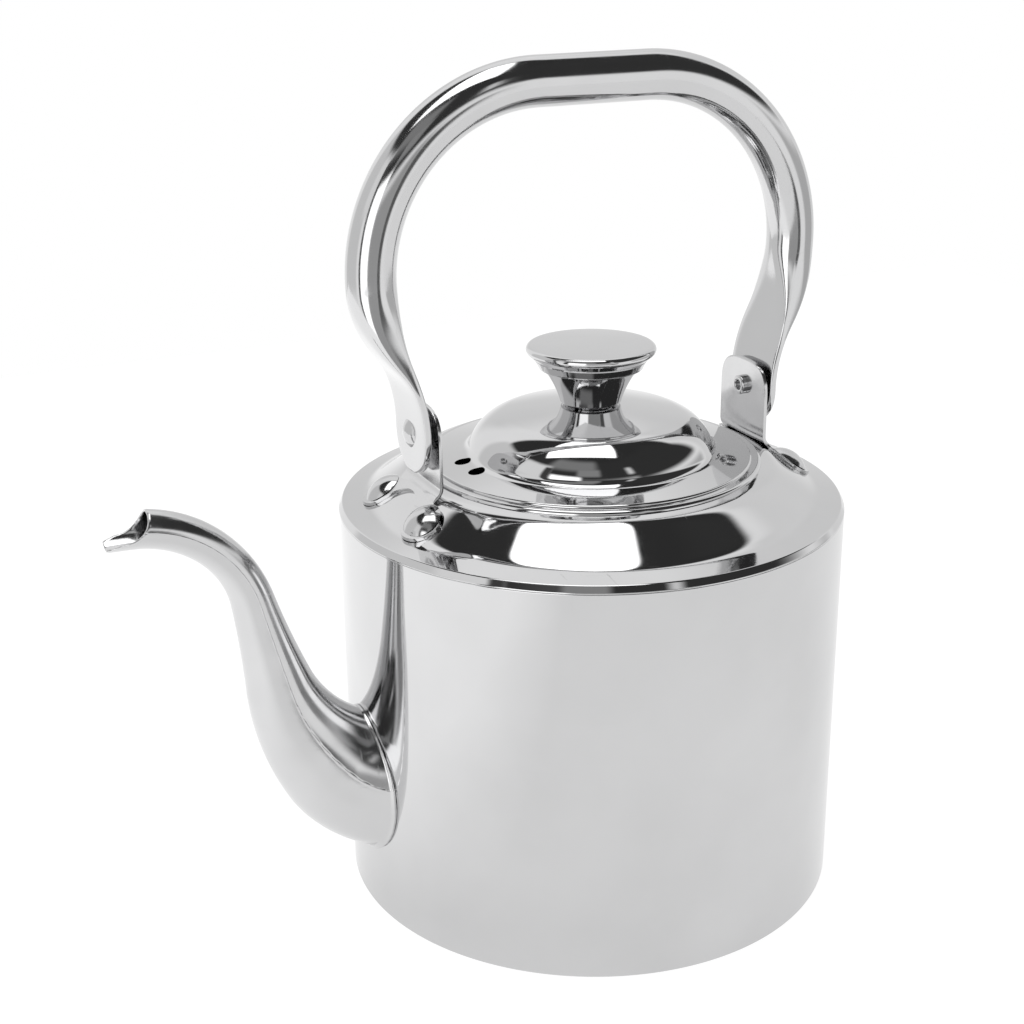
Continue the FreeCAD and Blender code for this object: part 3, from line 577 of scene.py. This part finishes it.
# Spout: the heading along the centreline turns evenly in three bends with straights between. Its lower half
# is flatter at the root, its lip is scooped and thinned, and welds rise round the root and along the flank.
SPOUT_GAUGE = 1.0
SPOUT_ROOT_REACH = 72.0
SPOUT_ROOT_HEIGHT = 41.5
SPOUT_ANGLES = (14.0, 48.0, 77.4, 1.5)
SPOUT_BENDS = (27.0, 61.0, 34.2)
SPOUT_STRAIGHTS = (0.0, 27.0, 6.4)
SPOUT_OVERLAP = 12.0
SPOUT_ROOT_HALF_HEIGHT = 24.0
SPOUT_ROOT_HALF_WIDTH = 19.6
SPOUT_TIP_RADIUS = 5.4
SPOUT_TAPER_LENGTH = 95.0
SPOUT_ROOT_FLAT = 2.5
SCOOP_RADIUS = 7.4
SCOOP_BACK = 4.0
SCOOP_RISE = 5.1
PORT_RADIUS = 14.0
LIP_FALL = 0.27
LIP_GAUGE = 0.5
LIP_THIN = 16.0
LIP_ROUND = 0.45
WELD_HEIGHT = 0.55
WELD_HALF = 0.55
WELD_PLACE = 0.7
WELD_SHARE = 0.03
FLANK_ANGLE = math.radians(83.3)
FLANK_HALF = math.radians(1.0)
FLANK_HEIGHT = 0.11
FLANK_WAVES = (2.9, 1.7)
FLANK_REACH = 2.5
FLANK_COLUMNS = 11
SPOUT_STEP = 0.1
SPOUT_ROWS = 180
WELD_ROWS = 28
SPOUT_COLUMNS = 72
RIDGE_LOOP = 0.004
LIP_ROWS = 7


def spout_centreline():
    """Distance, reach, height and heading along the spout: each point is the running sum of the heading."""
    knots, headings = [-SPOUT_OVERLAP, 0.0], [SPOUT_ANGLES[0]] * 2
    for bend, angle, straight in zip(SPOUT_BENDS, SPOUT_ANGLES[1:], SPOUT_STRAIGHTS):
        turn = abs(math.radians(angle - headings[-1])) * bend
        knots += [knots[-1] + turn, knots[-1] + turn + straight]
        headings += [angle, angle]
    distance = np.arange(-SPOUT_OVERLAP, knots[-1] + SPOUT_STEP / 2, SPOUT_STEP)
    heading = np.radians(np.interp(distance, knots, headings))
    reach = np.cumsum(np.cos(heading)) * SPOUT_STEP
    height = np.cumsum(np.sin(heading)) * SPOUT_STEP
    root = np.argmin(abs(distance))
    reach = reach - reach[root] + SPOUT_ROOT_REACH
    height = height - height[root] + SPOUT_ROOT_HEIGHT
    return distance, reach, height, heading


def spout_skin(side, inset):
    """Half of the spout's skin: ellipses that shrink with the square of the distance left, with a flatter
    lower half at the root, cut by the wall at the root and by the scoop at the lip, where the inset falls to
    the lip's gauge. Bell-shaped welds rise round the root and, rippled, along the flank. Columns run from the
    upper ridge to the lower one."""
    distance, reach, height, heading = spout_centreline()
    left = np.clip(1 - distance / SPOUT_TAPER_LENGTH, 0, None) ** 2
    inset = inset * np.interp(distance, distance[-1] - np.array((LIP_THIN, 0)), (1, LIP_GAUGE / SPOUT_GAUGE))
    half_height = SPOUT_TIP_RADIUS + (SPOUT_ROOT_HALF_HEIGHT - SPOUT_TIP_RADIUS) * left - inset
    half_width = SPOUT_TIP_RADIUS + (SPOUT_ROOT_HALF_WIDTH - SPOUT_TIP_RADIUS) * left - inset
    tip_reach, tip_height = reach[-1] - SCOOP_BACK, height[-1] + SCOOP_RISE

    def skin(rows, angle, weld):
        """Points of the skin at these distances and angles, raised by a weld."""
        def at(values):
            return np.interp(rows, distance, values)

        low = SPOUT_ROOT_FLAT * at(left) * (np.cos(angle) < 0)
        up = (at(half_height) - low + weld) * np.cos(angle)
        x = -at(reach) + up * np.sin(at(heading))
        z = at(height) + up * np.cos(at(heading))
        return np.stack((x, side * (at(half_width) + weld) * np.sin(angle), z), axis=-1)

    ridges = (RIDGE_LOOP, np.pi - RIDGE_LOOP)
    flank = FLANK_ANGLE + FLANK_HALF * np.linspace(-FLANK_REACH, FLANK_REACH, FLANK_COLUMNS)
    angle = np.sort(np.concatenate((np.linspace(0, np.pi, SPOUT_COLUMNS + 1), ridges, flank)))
    full = skin(distance[:, None], angle[None, :], 0.0)
    outside = np.hypot(full[..., 0], full[..., 1]) > BODY_RADIUS + SEAM_GAP
    ahead, over = -full[..., 0] - tip_reach, full[..., 2] - tip_height
    scooped = np.hypot(ahead, over) < SCOOP_RADIUS + LIP_ROUND
    scooped |= (ahead > 0) & (over > -SCOOP_RADIUS - LIP_ROUND - LIP_FALL * ahead)
    scooped[distance > distance[-1] - LIP_ROUND] = True
    first = distance[np.argmax(outside, axis=0)]
    last = distance[np.argmax(scooped & (distance[:, None] > SPOUT_TAPER_LENGTH), axis=0)]
    root_shares = np.linspace(0, WELD_SHARE, WELD_ROWS)
    shares = np.concatenate((root_shares, np.linspace(WELD_SHARE, 1, SPOUT_ROWS)[1:]))[:, None]
    rows = first + (last - first) * shares
    root_weld = WELD_HEIGHT * np.exp(-((rows - first - WELD_PLACE) / WELD_HALF) ** 2)
    ripple = 1 + np.sin(FLANK_WAVES[0] * rows) * np.sin(FLANK_WAVES[1] * rows)
    flank_weld = FLANK_HEIGHT * ripple * np.exp(-((angle - FLANK_ANGLE) / FLANK_HALF) ** 2)
    weld = (root_weld + flank_weld) * (inset.max() == 0)
    return skin(rows, angle[None, :], weld)


def make_spout():
    """Two pressed halves: an outer and an inner skin, joined at a rounded lip, the root and both ridges."""
    for name, node, side in (("spout_near", "spout_near_half", -1), ("spout_far", "spout_far_half", 1)):
        outer, inner = spout_skin(side, 0), spout_skin(side, SPOUT_GAUGE)
        middle, half = (outer[-1] + inner[-1]) / 2, (outer[-1] - inner[-1]) / 2
        bulge = np.array((-1.0, 0, 0)) * np.linalg.norm(half, axis=-1, keepdims=True)
        turn = np.linspace(0, np.pi, LIP_ROWS)[:, None, None]
        lip = middle + half * np.cos(turn) + bulge * np.sin(turn)
        root = np.stack((inner[0], outer[0]))
        upper = np.stack((outer[:, 0], inner[:, 0]), axis=1)
        lower = np.stack((inner[:, -1], outer[:, -1]), axis=1)
        grids = [outer, inner[:, ::-1], lip, root, upper, lower]
        if side < 0:
            grids = [g[:, ::-1] for g in grids]
        open_grids = [(g, (False, False)) for g in grids]
        make_piece(name, open_grids, satin_steel, "vessel", node)


# Handle: a round tube bent over the lid, flattened towards its ends
TUBE_RADIUS = 7.0
GRIP_HALF_LENGTH = 17.0
GRIP_BEND = 50.0
LEG_ANGLE = 27.0
FLATTEN_BEFORE = 22.0
FLATTEN_LENGTH = 32.0
END_HALF_WIDTH = 11.4
END_THICKNESS = 2.6
KNEE_PLACE = 12.0
KNEE_LENGTH = 20.0
END_ROUND = 0.7
END_SQUARENESS = 2.2
LEG_KNEES = 4
HANDLE_STEP = 0.05
HANDLE_COLUMNS = 64
GRIP_ROWS, FLATTEN_ROWS, EYE_ROWS = 100, 110, 40


def make_handle():
    """Bail: a section carried along the bent line, a circle on the grip that turns into a flat plate and ends
    in a half-round eye. The heading turns evenly in each bend."""
    bend_end = GRIP_HALF_LENGTH + GRIP_BEND * math.radians(90 + LEG_ANGLE)
    flatten = bend_end - FLATTEN_BEFORE
    knee = bend_end + KNEE_PLACE - KNEE_LENGTH / 2
    knots = [0, GRIP_HALF_LENGTH, bend_end, knee, knee + KNEE_LENGTH, knee + KNEE_LENGTH * LEG_KNEES]
    headings = [0, 0, -90 - LEG_ANGLE, -90 - LEG_ANGLE, -90, -90]
    distance = np.arange(0, knots[-1], HANDLE_STEP)
    heading = np.radians(np.interp(distance, knots, headings))
    x = np.cumsum(np.cos(heading)) * HANDLE_STEP
    z = GRIP_TOP - TUBE_RADIUS + np.cumsum(np.sin(heading)) * HANDLE_STEP
    eye = distance[np.argmax(z < PIVOT_HEIGHT)]
    tip = eye + END_HALF_WIDTH
    ease = np.clip((distance - flatten) / FLATTEN_LENGTH, 0, 1)
    ease = ease * ease * (3 - 2 * ease)
    width = TUBE_RADIUS + (END_HALF_WIDTH - TUBE_RADIUS) * ease
    width = width * np.sqrt(np.clip(1 - (np.clip(distance - eye, 0, None) / END_HALF_WIDTH) ** 2, 0, 1))
    thickness = TUBE_RADIUS + (END_THICKNESS / 2 - TUBE_RADIUS) * ease
    rounding = np.clip((distance - tip + END_ROUND) / END_ROUND, 0, 1)
    thickness = thickness * np.sqrt(1 - rounding ** 2)
    power = 1 / (1 + END_SQUARENESS * ease)
    round_end = eye + END_HALF_WIDTH * np.sin(np.linspace(0, np.pi / 2, EYE_ROWS))
    grip_rows, flatten_rows = np.linspace(0, flatten, GRIP_ROWS), np.linspace(flatten, eye, FLATTEN_ROWS)
    rows = np.concatenate((grip_rows, flatten_rows[1:], round_end[1:]))
    angle = np.linspace(0, 2 * np.pi, HANDLE_COLUMNS, endpoint=False)

    def at(values):
        return np.interp(rows, distance, values)[:, None]

    across = at(width) * np.sign(np.cos(angle)) * abs(np.cos(angle)) ** at(power)
    out = at(thickness) * np.sign(np.sin(angle)) * abs(np.sin(angle)) ** at(power)
    side = np.stack((at(x) - out * np.sin(at(heading)), across, at(z) + out * np.cos(at(heading))), axis=-1)
    other = side[:0:-1] * np.array((-1, 1, 1))
    bail = (np.concatenate((other, side)), (False, True))
    make_piece("handle", [bail], drawn_steel, "handle", "handle_tube")


# Ear brackets: a strip that lies on the cone as a fishtail and bends up into an ear
EAR_THICKNESS = 1.8
EAR_HALF_WIDTH = 12.25
EAR_LOWER = 1.4
EAR_CURVE_HEIGHT = 10.0
EAR_CURVE_POWER = 2.8
FLANGE_THICKNESS = 1.0
EAR_BEND_RADIUS = 3.0
FLANGE_WAIST_RUN = 3.9
LOBE_RADIUS = 6.6
LOBE_START, LOBE_END = -108.0, 47.0
NOTCH_RADIUS = 11.0
RIVET_RUN = 8.2
RIVET_OFFSET = 15.2
RIVET_REACH = EAR_INNER + RIVET_RUN
WAIST_REACH = EAR_INNER + FLANGE_WAIST_RUN
EAR_EDGE_WIDTH = 0.3
EAR_EDGE_STEPS = 3
EAR_EDGE_ANGLE = math.radians(50)
STRIP_ROWS, STRIP_COLUMNS, BEND_STEPS = 24, 41, 12
WING_SHARE, WING_COLUMNS = 0.9, 12
WING_TIP_ANGLE, WING_TIP_COLUMNS = 1.12, 10


def flange_end(y):
    """Outer edge of the fishtail at a distance from its middle: a hollow notch between two round lobes."""
    end = math.radians(LOBE_END)
    tip_x = RIVET_REACH + LOBE_RADIUS * math.cos(end)
    tip_y = RIVET_OFFSET - LOBE_RADIUS * math.sin(end)
    notch_middle = tip_x + math.sqrt(NOTCH_RADIUS ** 2 - tip_y ** 2)
    notch = notch_middle - np.sqrt(NOTCH_RADIUS ** 2 - np.clip(y, 0, tip_y) ** 2)
    lobe = RIVET_REACH + np.sqrt(np.clip(LOBE_RADIUS ** 2 - (y - RIVET_OFFSET) ** 2, 0, None))
    return np.where(y < tip_y, notch, lobe)


def flange_start(y):
    """Inner edge of the fishtail's wing at a distance from its middle: a straight flank, then the lobe."""
    start = math.radians(LOBE_START)
    flank_x = RIVET_REACH + LOBE_RADIUS * math.cos(start)
    flank_y = RIVET_OFFSET - LOBE_RADIUS * math.sin(start)
    flank = np.interp(y, [EAR_HALF_WIDTH, flank_y], [WAIST_REACH, flank_x])
    lobe = RIVET_REACH - np.sqrt(np.clip(LOBE_RADIUS ** 2 - (y - RIVET_OFFSET) ** 2, 0, None))
    return np.where(y < flank_y, flank, lobe)


def make_brackets():
    """Each bracket: its outer skin as three grids, given its thickness by a solidify. A middle strip runs
    from the ear's squarish round top down through the bend to the notch, with a wing at each side."""
    outer = EAR_INNER + EAR_THICKNESS
    fall = math.atan(shoulder_fall(WAIST_REACH))
    lift = (FLANGE_THICKNESS + SEAM_GAP) / math.cos(fall)
    shares = np.linspace(0, 1, STRIP_ROWS)[:, None]
    y = EAR_HALF_WIDTH * np.sin(np.linspace(-np.pi / 2, np.pi / 2, STRIP_COLUMNS))
    run = EAR_BEND_RADIUS / math.tan((fall + math.pi / 2) / 2)
    corner = shoulder_height(outer) + lift
    aside = np.clip(abs(y) / EAR_HALF_WIDTH, 0, 1) ** EAR_CURVE_POWER
    top = EAR_TOP - EAR_LOWER - EAR_CURVE_HEIGHT * (1 - (1 - aside) ** (1 / EAR_CURVE_POWER))
    ear_z = top + (corner + run - top) * shares
    bend_centre = (outer + EAR_BEND_RADIUS, corner + run)
    bend = arc(bend_centre, EAR_BEND_RADIUS, 180, 270 - math.degrees(fall), BEND_STEPS)[1:]
    strip_x = WAIST_REACH + (flange_end(abs(y)) - WAIST_REACH) * shares
    wing_root = np.linspace(EAR_HALF_WIDTH, RIVET_OFFSET + LOBE_RADIUS * WING_SHARE, WING_COLUMNS)
    wing_tip = RIVET_OFFSET + LOBE_RADIUS * np.sin(np.linspace(WING_TIP_ANGLE, np.pi / 2, WING_TIP_COLUMNS))
    wing_y = np.concatenate((wing_root, wing_tip[1:]))
    wing_x = flange_start(wing_y) + (flange_end(wing_y) - flange_start(wing_y)) * shares

    def on_shoulder(x, y):
        """Points of the flange's outer face above the shoulder."""
        return np.stack((x, y + 0 * x, shoulder_height(np.hypot(x, y)) + lift), axis=-1)

    ear = np.stack((outer + 0 * ear_z, y + 0 * ear_z, ear_z), axis=-1)
    foot = np.stack(np.broadcast_arrays(bend[:, :1], y, bend[:, 1:]), axis=-1)
    strip = np.concatenate((ear, foot, on_shoulder(strip_x, y)))
    wings = [on_shoulder(wing_x, wing_y), on_shoulder(wing_x, -wing_y)[:, ::-1]]
    for name, node, mirror in (("rear_ear", "rear_bracket", 1), ("front_ear", "front_bracket", -1)):
        grids = [g * np.array((mirror, 1, 1)) for g in [strip, *wings]]
        open_grids = [(g if mirror < 0 else g[:, ::-1], (False, False)) for g in grids]
        piece = make_piece(name, open_grids, satin_steel, "vessel", node)
        thick = piece.modifiers.new("thickness", "SOLIDIFY")
        thick.thickness = FLANGE_THICKNESS * MM
        thick.offset = -1
        thick.use_even_offset = True
        edge = piece.modifiers.new("edge", "BEVEL")
        edge.width = EAR_EDGE_WIDTH * MM
        edge.segments = EAR_EDGE_STEPS
        edge.limit_method = "ANGLE"
        edge.angle_limit = EAR_EDGE_ANGLE


# Rivets of the brackets and pivots of the handle, with a first ring close to the axis
RIVET_RADIUS = 2.5
RIVET_MIDDLE = 0.2
RIVET_HEAD_RADIUS = 5.9
RIVET_HEAD_HEIGHT = 2.5
RIVET_TAIL_RADIUS = 3.8
RIVET_TAIL_HEIGHT = 1.5
PIVOT_HEAD_RADIUS = 4.75
PIVOT_HEAD_HEIGHT = 2.3
PIVOT_TAIL_RADIUS = 2.9
PIVOT_TAIL_LENGTH = 1.8
PIVOT_BORE_RADIUS = 1.5
PIVOT_BORE_DEPTH = 2.2
PIVOT_BORE_ROUND = 0.4
PIVOT_TAIL_ROUND = 0.6
PIVOT_MIDDLE = 0.1


def dome(radius, rise, base, steps=12):
    """Round cap of this half width and rise, from its edge to the axis."""
    return arc_through((radius, base), (0, base + rise), (radius ** 2 + rise ** 2) / (2 * rise), 1, steps)


def make_rivets():
    """Domed rivets square to the shoulder, each with a flat tail behind it."""
    face = FLANGE_THICKNESS + 2 * SEAM_GAP
    tail = -GAUGE - 2 * SEAM_GAP
    low = tail - RIVET_TAIL_HEIGHT
    outline = chain(
        np.array([(0.0, low)]),
        line((RIVET_MIDDLE, low), (RIVET_TAIL_RADIUS, low)),
        line((RIVET_TAIL_RADIUS, low), (RIVET_TAIL_RADIUS, tail)),
        line((RIVET_TAIL_RADIUS, tail), (RIVET_RADIUS, tail)),
        line((RIVET_RADIUS, tail), (RIVET_RADIUS, face)),
        line((RIVET_RADIUS, face), (RIVET_HEAD_RADIUS, face)),
        dome(RIVET_HEAD_RADIUS, RIVET_HEAD_HEIGHT, face),
    )
    for end, side_x in (("rear", 1), ("front", -1)):
        for hand, side_y in (("near", -1), ("far", 1)):
            spot = Vector((RIVET_REACH * side_x, RIVET_OFFSET * side_y, 0))
            spot.z = shoulder_height(spot.xy.length)
            lean = math.atan(shoulder_fall(spot.xy.length))
            turn = Matrix.Rotation(math.atan2(spot.y, spot.x), 4, "Z") @ Matrix.Rotation(lean, 4, "Y")
            grid = moved(turned_grid(outline, SMALL_SIDES), Matrix.Translation(spot) @ turn)
            node = f"{end}_rivet_{hand}"
            make_piece(f"{node}_head", [grid], rivet_steel, "vessel", node)


def make_pivots():
    """Pivots of the handle along X: a domed head outside, a shank and a hollow tail inside the ear."""
    back = EAR_INNER + EAR_THICKNESS - FLANGE_THICKNESS - SEAM_GAP
    low = back - PIVOT_TAIL_LENGTH
    floor = low + PIVOT_BORE_DEPTH
    head = high_corner("rear_pivot_rivet")[0] - PIVOT_HEAD_HEIGHT
    bore_round, tail_round = low + PIVOT_BORE_ROUND, low + PIVOT_TAIL_ROUND
    outline = chain(
        np.array([(0.0, floor)]),
        line((PIVOT_MIDDLE, floor), (PIVOT_BORE_RADIUS, floor)),
        line((PIVOT_BORE_RADIUS, floor), (PIVOT_BORE_RADIUS, bore_round)),
        arc((PIVOT_BORE_RADIUS + PIVOT_BORE_ROUND, bore_round), PIVOT_BORE_ROUND, 180, 270, steps=5),
        arc((PIVOT_TAIL_RADIUS - PIVOT_TAIL_ROUND, tail_round), PIVOT_TAIL_ROUND, -90, 0, steps=5),
        line((PIVOT_TAIL_RADIUS, tail_round), (PIVOT_TAIL_RADIUS, back)),
        line((PIVOT_TAIL_RADIUS, back), (RIVET_RADIUS, back)),
        line((RIVET_RADIUS, back), (RIVET_RADIUS, head)),
        line((RIVET_RADIUS, head), (PIVOT_HEAD_RADIUS, head)),
        dome(PIVOT_HEAD_RADIUS, PIVOT_HEAD_HEIGHT, head),
    )
    for end, side in (("rear", 1), ("front", -1)):
        place = Matrix.Translation((0, 0, PIVOT_HEIGHT)) @ Matrix.Rotation(math.radians(90 * side), 4, "Y")
        grid = moved(turned_grid(outline, SMALL_SIDES), place)
        node = f"{end}_pivot_rivet"
        make_piece(f"{node}_head", [grid], rivet_steel, "vessel", node)


def finish_hidden_pieces():
    """The pieces that hardly show keep their solids, in plain steel."""
    for node in ("knob_nut", "knob_washer", "knob_screw", "rear_pivot_washer", "front_pivot_washer"):
        piece = frame["nodes"][node]
        piece.data.materials.clear()
        piece.data.materials.append(plain_steel)


# Camera: it looks at a point above the base from the photograph's side, then turns a little off it
CAMERA_TARGET = (0.0, 0.0, 60.0)
CAMERA_DISTANCE = 535.4
CAMERA_AZIMUTH = -27.5
CAMERA_ELEVATION = 25.56
CAMERA_PAN = 2.62
CAMERA_TILT = 5.27
CAMERA_ROLL = -0.61
CAMERA_LENS = 60.12
SENSOR_WIDTH = 36.0
CAMERA_CLIP = 0.01

# Studio: white all round, with soft patches of light and dark laid over it in turn. Azimuths are counted
# from the camera's side, plus to its right, and elevations from the horizon: middle azimuth, half width,
# lowest and highest elevation and softness of the edges in degrees, then the brightness, where 1 is white.
STUDIO = (
    (0, 70, 20, 60, 5, 0.04),
    (84, 38, 16, 64, 5, 0.04),
    (-20, 27, 40, 62, 6, 0.26),
    (13, 22, -30, 13, 5, 0.40),
    (100, 26, -30, 8, 5, 0.55),
    (-92, 32, -16, 42, 4, 0.75),
    (150, 20, -20, 46, 4, 0.85),
    (-24, 15, -20, 27, 3, 1.9),
    (-58, 16, 16, 43, 4, 0.9),
    (-44, 4, -30, 40, 2, 0.06),
    (-1.5, 11.5, 28, 43, 3, 0.30),
    (41, 3, 28, 42, 3, 0.8),
    (41, 7, -30, 6, 3, 0.12),
    (180, 30, 4, 32, 8, 0.80),
)
# Dark ceiling: all that lies nearer than a line across a plane one unit up, with its softness and brightness,
# and the elevation in degrees that it starts from, with that edge's softness
CEILING = (0.55, 0.06, 0.035)
CEILING_START = (40.0, 6.0)
# Overhead soft box on that plane: its edges fan out from a point (right, away) by their slopes, and it runs
# from its near to its far reach, with its softness and brightness
SOFT_BOX = ((0.03, 0.73), (-0.62, 0.28), (-0.30, 0.50), 0.02, 2.2)
SOFT_BOX_START = 0.1
LEAST_DIVISOR = 0.02
WHITE = (1, 1, 1, 1)
# Floor: its half length in metres, its glow where it is seen, and the glow in a mirror at the two ends of a
# fade in metres across the picture
FLOOR_REACH = 0.65
FLOOR_GLOW = 0.93
FLOOR_SHEEN = (1.0, 0.80)
FLOOR_FADE = (-0.17, -0.06)
FLOOR_COLOUR = 0.22
FLOOR_ROUGHNESS = 0.9


def soft_step(tree, value, edge, softness):
    """Smooth step from 0 to 1 as a value passes an edge."""
    ends = {"Value": value, "From Min": edge - softness, "From Max": edge + softness}
    return wire(tree, "ShaderNodeMapRange", ends, interpolation_type="SMOOTHSTEP").outputs[0]


def soft_span(tree, value, low, high, softness):
    """Smooth window: 1 between low and high, 0 outside."""
    above = soft_step(tree, value, low, softness)
    return sums(tree, "SUBTRACT", above, soft_step(tree, value, high, softness))


def make_world():
    """World of the studio: camera rays see plain white, and all others the patches and the soft box."""
    world = bpy.data.worlds.new("studio")
    bpy.context.scene.world = world
    world.use_nodes = True
    tree = world.node_tree
    direction = tree.nodes.new("ShaderNodeTexCoord").outputs["Generated"]
    turning = {"Vector": direction, "Angle": math.radians(-CAMERA_AZIMUTH)}
    turned = wire(tree, "ShaderNodeVectorRotate", turning, rotation_type="Z_AXIS").outputs[0]
    right, away, up = wire(tree, "ShaderNodeSeparateXYZ", {"Vector": turned}).outputs
    azimuth = sums(tree, "DEGREES", sums(tree, "ARCTAN2", right, sums(tree, "MULTIPLY", away, -1.0)))
    elevation = sums(tree, "DEGREES", sums(tree, "ARCSINE", up))
    height = sums(tree, "MAXIMUM", up, LEAST_DIVISOR)
    ceiling_x = sums(tree, "DIVIDE", right, height)
    ceiling_y = sums(tree, "DIVIDE", away, height)

    def lay(level, inside, brightness):
        """The level so far with a brightness laid over it inside an area."""
        return wire(tree, "ShaderNodeMix", {"Factor": inside, "A": level, "B": brightness}).outputs[0]

    edge, softness, brightness = CEILING
    above = soft_step(tree, elevation, *CEILING_START)
    near = sums(tree, "SUBTRACT", 1.0, soft_step(tree, ceiling_y, edge, softness))
    level = lay(1.0, sums(tree, "MULTIPLY", above, near), brightness)
    for middle, half, low, high, softness, brightness in STUDIO:
        offset = sums(tree, "WRAP", sums(tree, "SUBTRACT", azimuth, middle), 180.0, -180.0)
        across = soft_span(tree, offset, -half, half, softness)
        along = soft_span(tree, elevation, low, high, softness)
        level = lay(level, sums(tree, "MULTIPLY", across, along), brightness)
    point, slopes, depth, softness, brightness = SOFT_BOX
    short = sums(tree, "MAXIMUM", sums(tree, "SUBTRACT", point[1], ceiling_y), LEAST_DIVISOR)
    fan = sums(tree, "DIVIDE", sums(tree, "SUBTRACT", ceiling_x, point[0]), short)
    across = soft_span(tree, fan, *slopes, softness)
    along = soft_span(tree, ceiling_y, *depth, softness)
    overhead = sums(tree, "GREATER_THAN", up, SOFT_BOX_START)
    inside = sums(tree, "MULTIPLY", sums(tree, "MULTIPLY", across, along), overhead)
    level = lay(level, inside, brightness)
    straight = tree.nodes.new("ShaderNodeLightPath").outputs["Is Camera Ray"]
    tree.links.new(lay(level, straight, 1.0), tree.nodes["Background"].inputs["Strength"])
    tree.nodes["Background"].inputs["Color"].default_value = WHITE


def make_floor():
    """Pale floor that takes the kettle's shadow. A glow brings it to white where it is seen, and in a mirror
    the glow falls off from the camera's left to its right."""
    mesh = bpy.data.meshes.new("floor")
    corners = np.array([(-1, -1, 0), (1, -1, 0), (1, 1, 0), (-1, 1, 0)]) * FLOOR_REACH
    mesh.from_pydata(corners, [], [(0, 1, 2, 3)])
    floor = bpy.data.objects.new("floor", mesh)
    bpy.context.scene.collection.objects.link(floor)
    material = bpy.data.materials.new("pale_floor")
    material.use_nodes = True
    tree = material.node_tree
    shader = tree.nodes["Principled BSDF"]
    shader.inputs["Base Color"].default_value = (FLOOR_COLOUR, FLOOR_COLOUR, FLOOR_COLOUR, 1)
    shader.inputs["Roughness"].default_value = FLOOR_ROUGHNESS
    shader.inputs["Specular IOR Level"].default_value = 0.0
    shader.inputs["Emission Color"].default_value = WHITE
    path = tree.nodes.new("ShaderNodeLightPath").outputs
    seen = sums(tree, "MAXIMUM", path["Is Camera Ray"], path["Is Transmission Ray"])
    place = tree.nodes.new("ShaderNodeTexCoord").outputs["Object"]
    x, y, _ = wire(tree, "ShaderNodeSeparateXYZ", {"Vector": place}).outputs
    turn = math.radians(CAMERA_AZIMUTH)
    x_share = sums(tree, "MULTIPLY", x, math.cos(turn))
    y_share = sums(tree, "MULTIPLY", y, math.sin(turn))
    sheen = spread(tree, sums(tree, "ADD", x_share, y_share), *FLOOR_FADE, *FLOOR_SHEEN)
    mirrored = sums(tree, "MULTIPLY", path["Is Glossy Ray"], sheen)
    glow = sums(tree, "ADD", sums(tree, "MULTIPLY", seen, FLOOR_GLOW), mirrored)
    tree.links.new(glow, shader.inputs["Emission Strength"])
    mesh.materials.append(material)


def make_camera():
    """Camera at the photograph's place, with its pan about up, tilt about right and roll about forward."""
    azimuth, elevation = math.radians(CAMERA_AZIMUTH), math.radians(CAMERA_ELEVATION)
    level = math.cos(elevation)
    back = Vector((math.sin(azimuth) * level, -math.cos(azimuth) * level, math.sin(elevation)))
    forward, right = -back, Vector((math.cos(azimuth), math.sin(azimuth), 0))
    up = right.cross(forward)
    for angle, axis in ((CAMERA_PAN, "up"), (CAMERA_TILT, "right"), (CAMERA_ROLL, "forward")):
        pole = {"up": up, "right": right, "forward": forward}[axis]
        turn = Matrix.Rotation(math.radians(angle), 3, pole)
        forward, right, up = turn @ forward, turn @ right, turn @ up
    camera = bpy.data.objects.new("camera", bpy.data.cameras.new("camera"))
    bpy.context.scene.collection.objects.link(camera)
    place = (Vector(CAMERA_TARGET) + back * CAMERA_DISTANCE) * MM
    camera.matrix_world = Matrix.Translation(place) @ Matrix((right, up, -forward)).transposed().to_4x4()
    camera.data.sensor_width = SENSOR_WIDTH
    camera.data.lens = CAMERA_LENS
    camera.data.clip_start = CAMERA_CLIP
    bpy.context.scene.camera = camera


make_body_wall()
make_base_pan()
make_shoulder()
make_lid()
make_knob()
make_spout()
make_handle()
make_brackets()
make_rivets()
make_pivots()
finish_hidden_pieces()
make_world()
make_floor()
make_camera()

bpy.context.scene.view_settings.view_transform = "Standard"
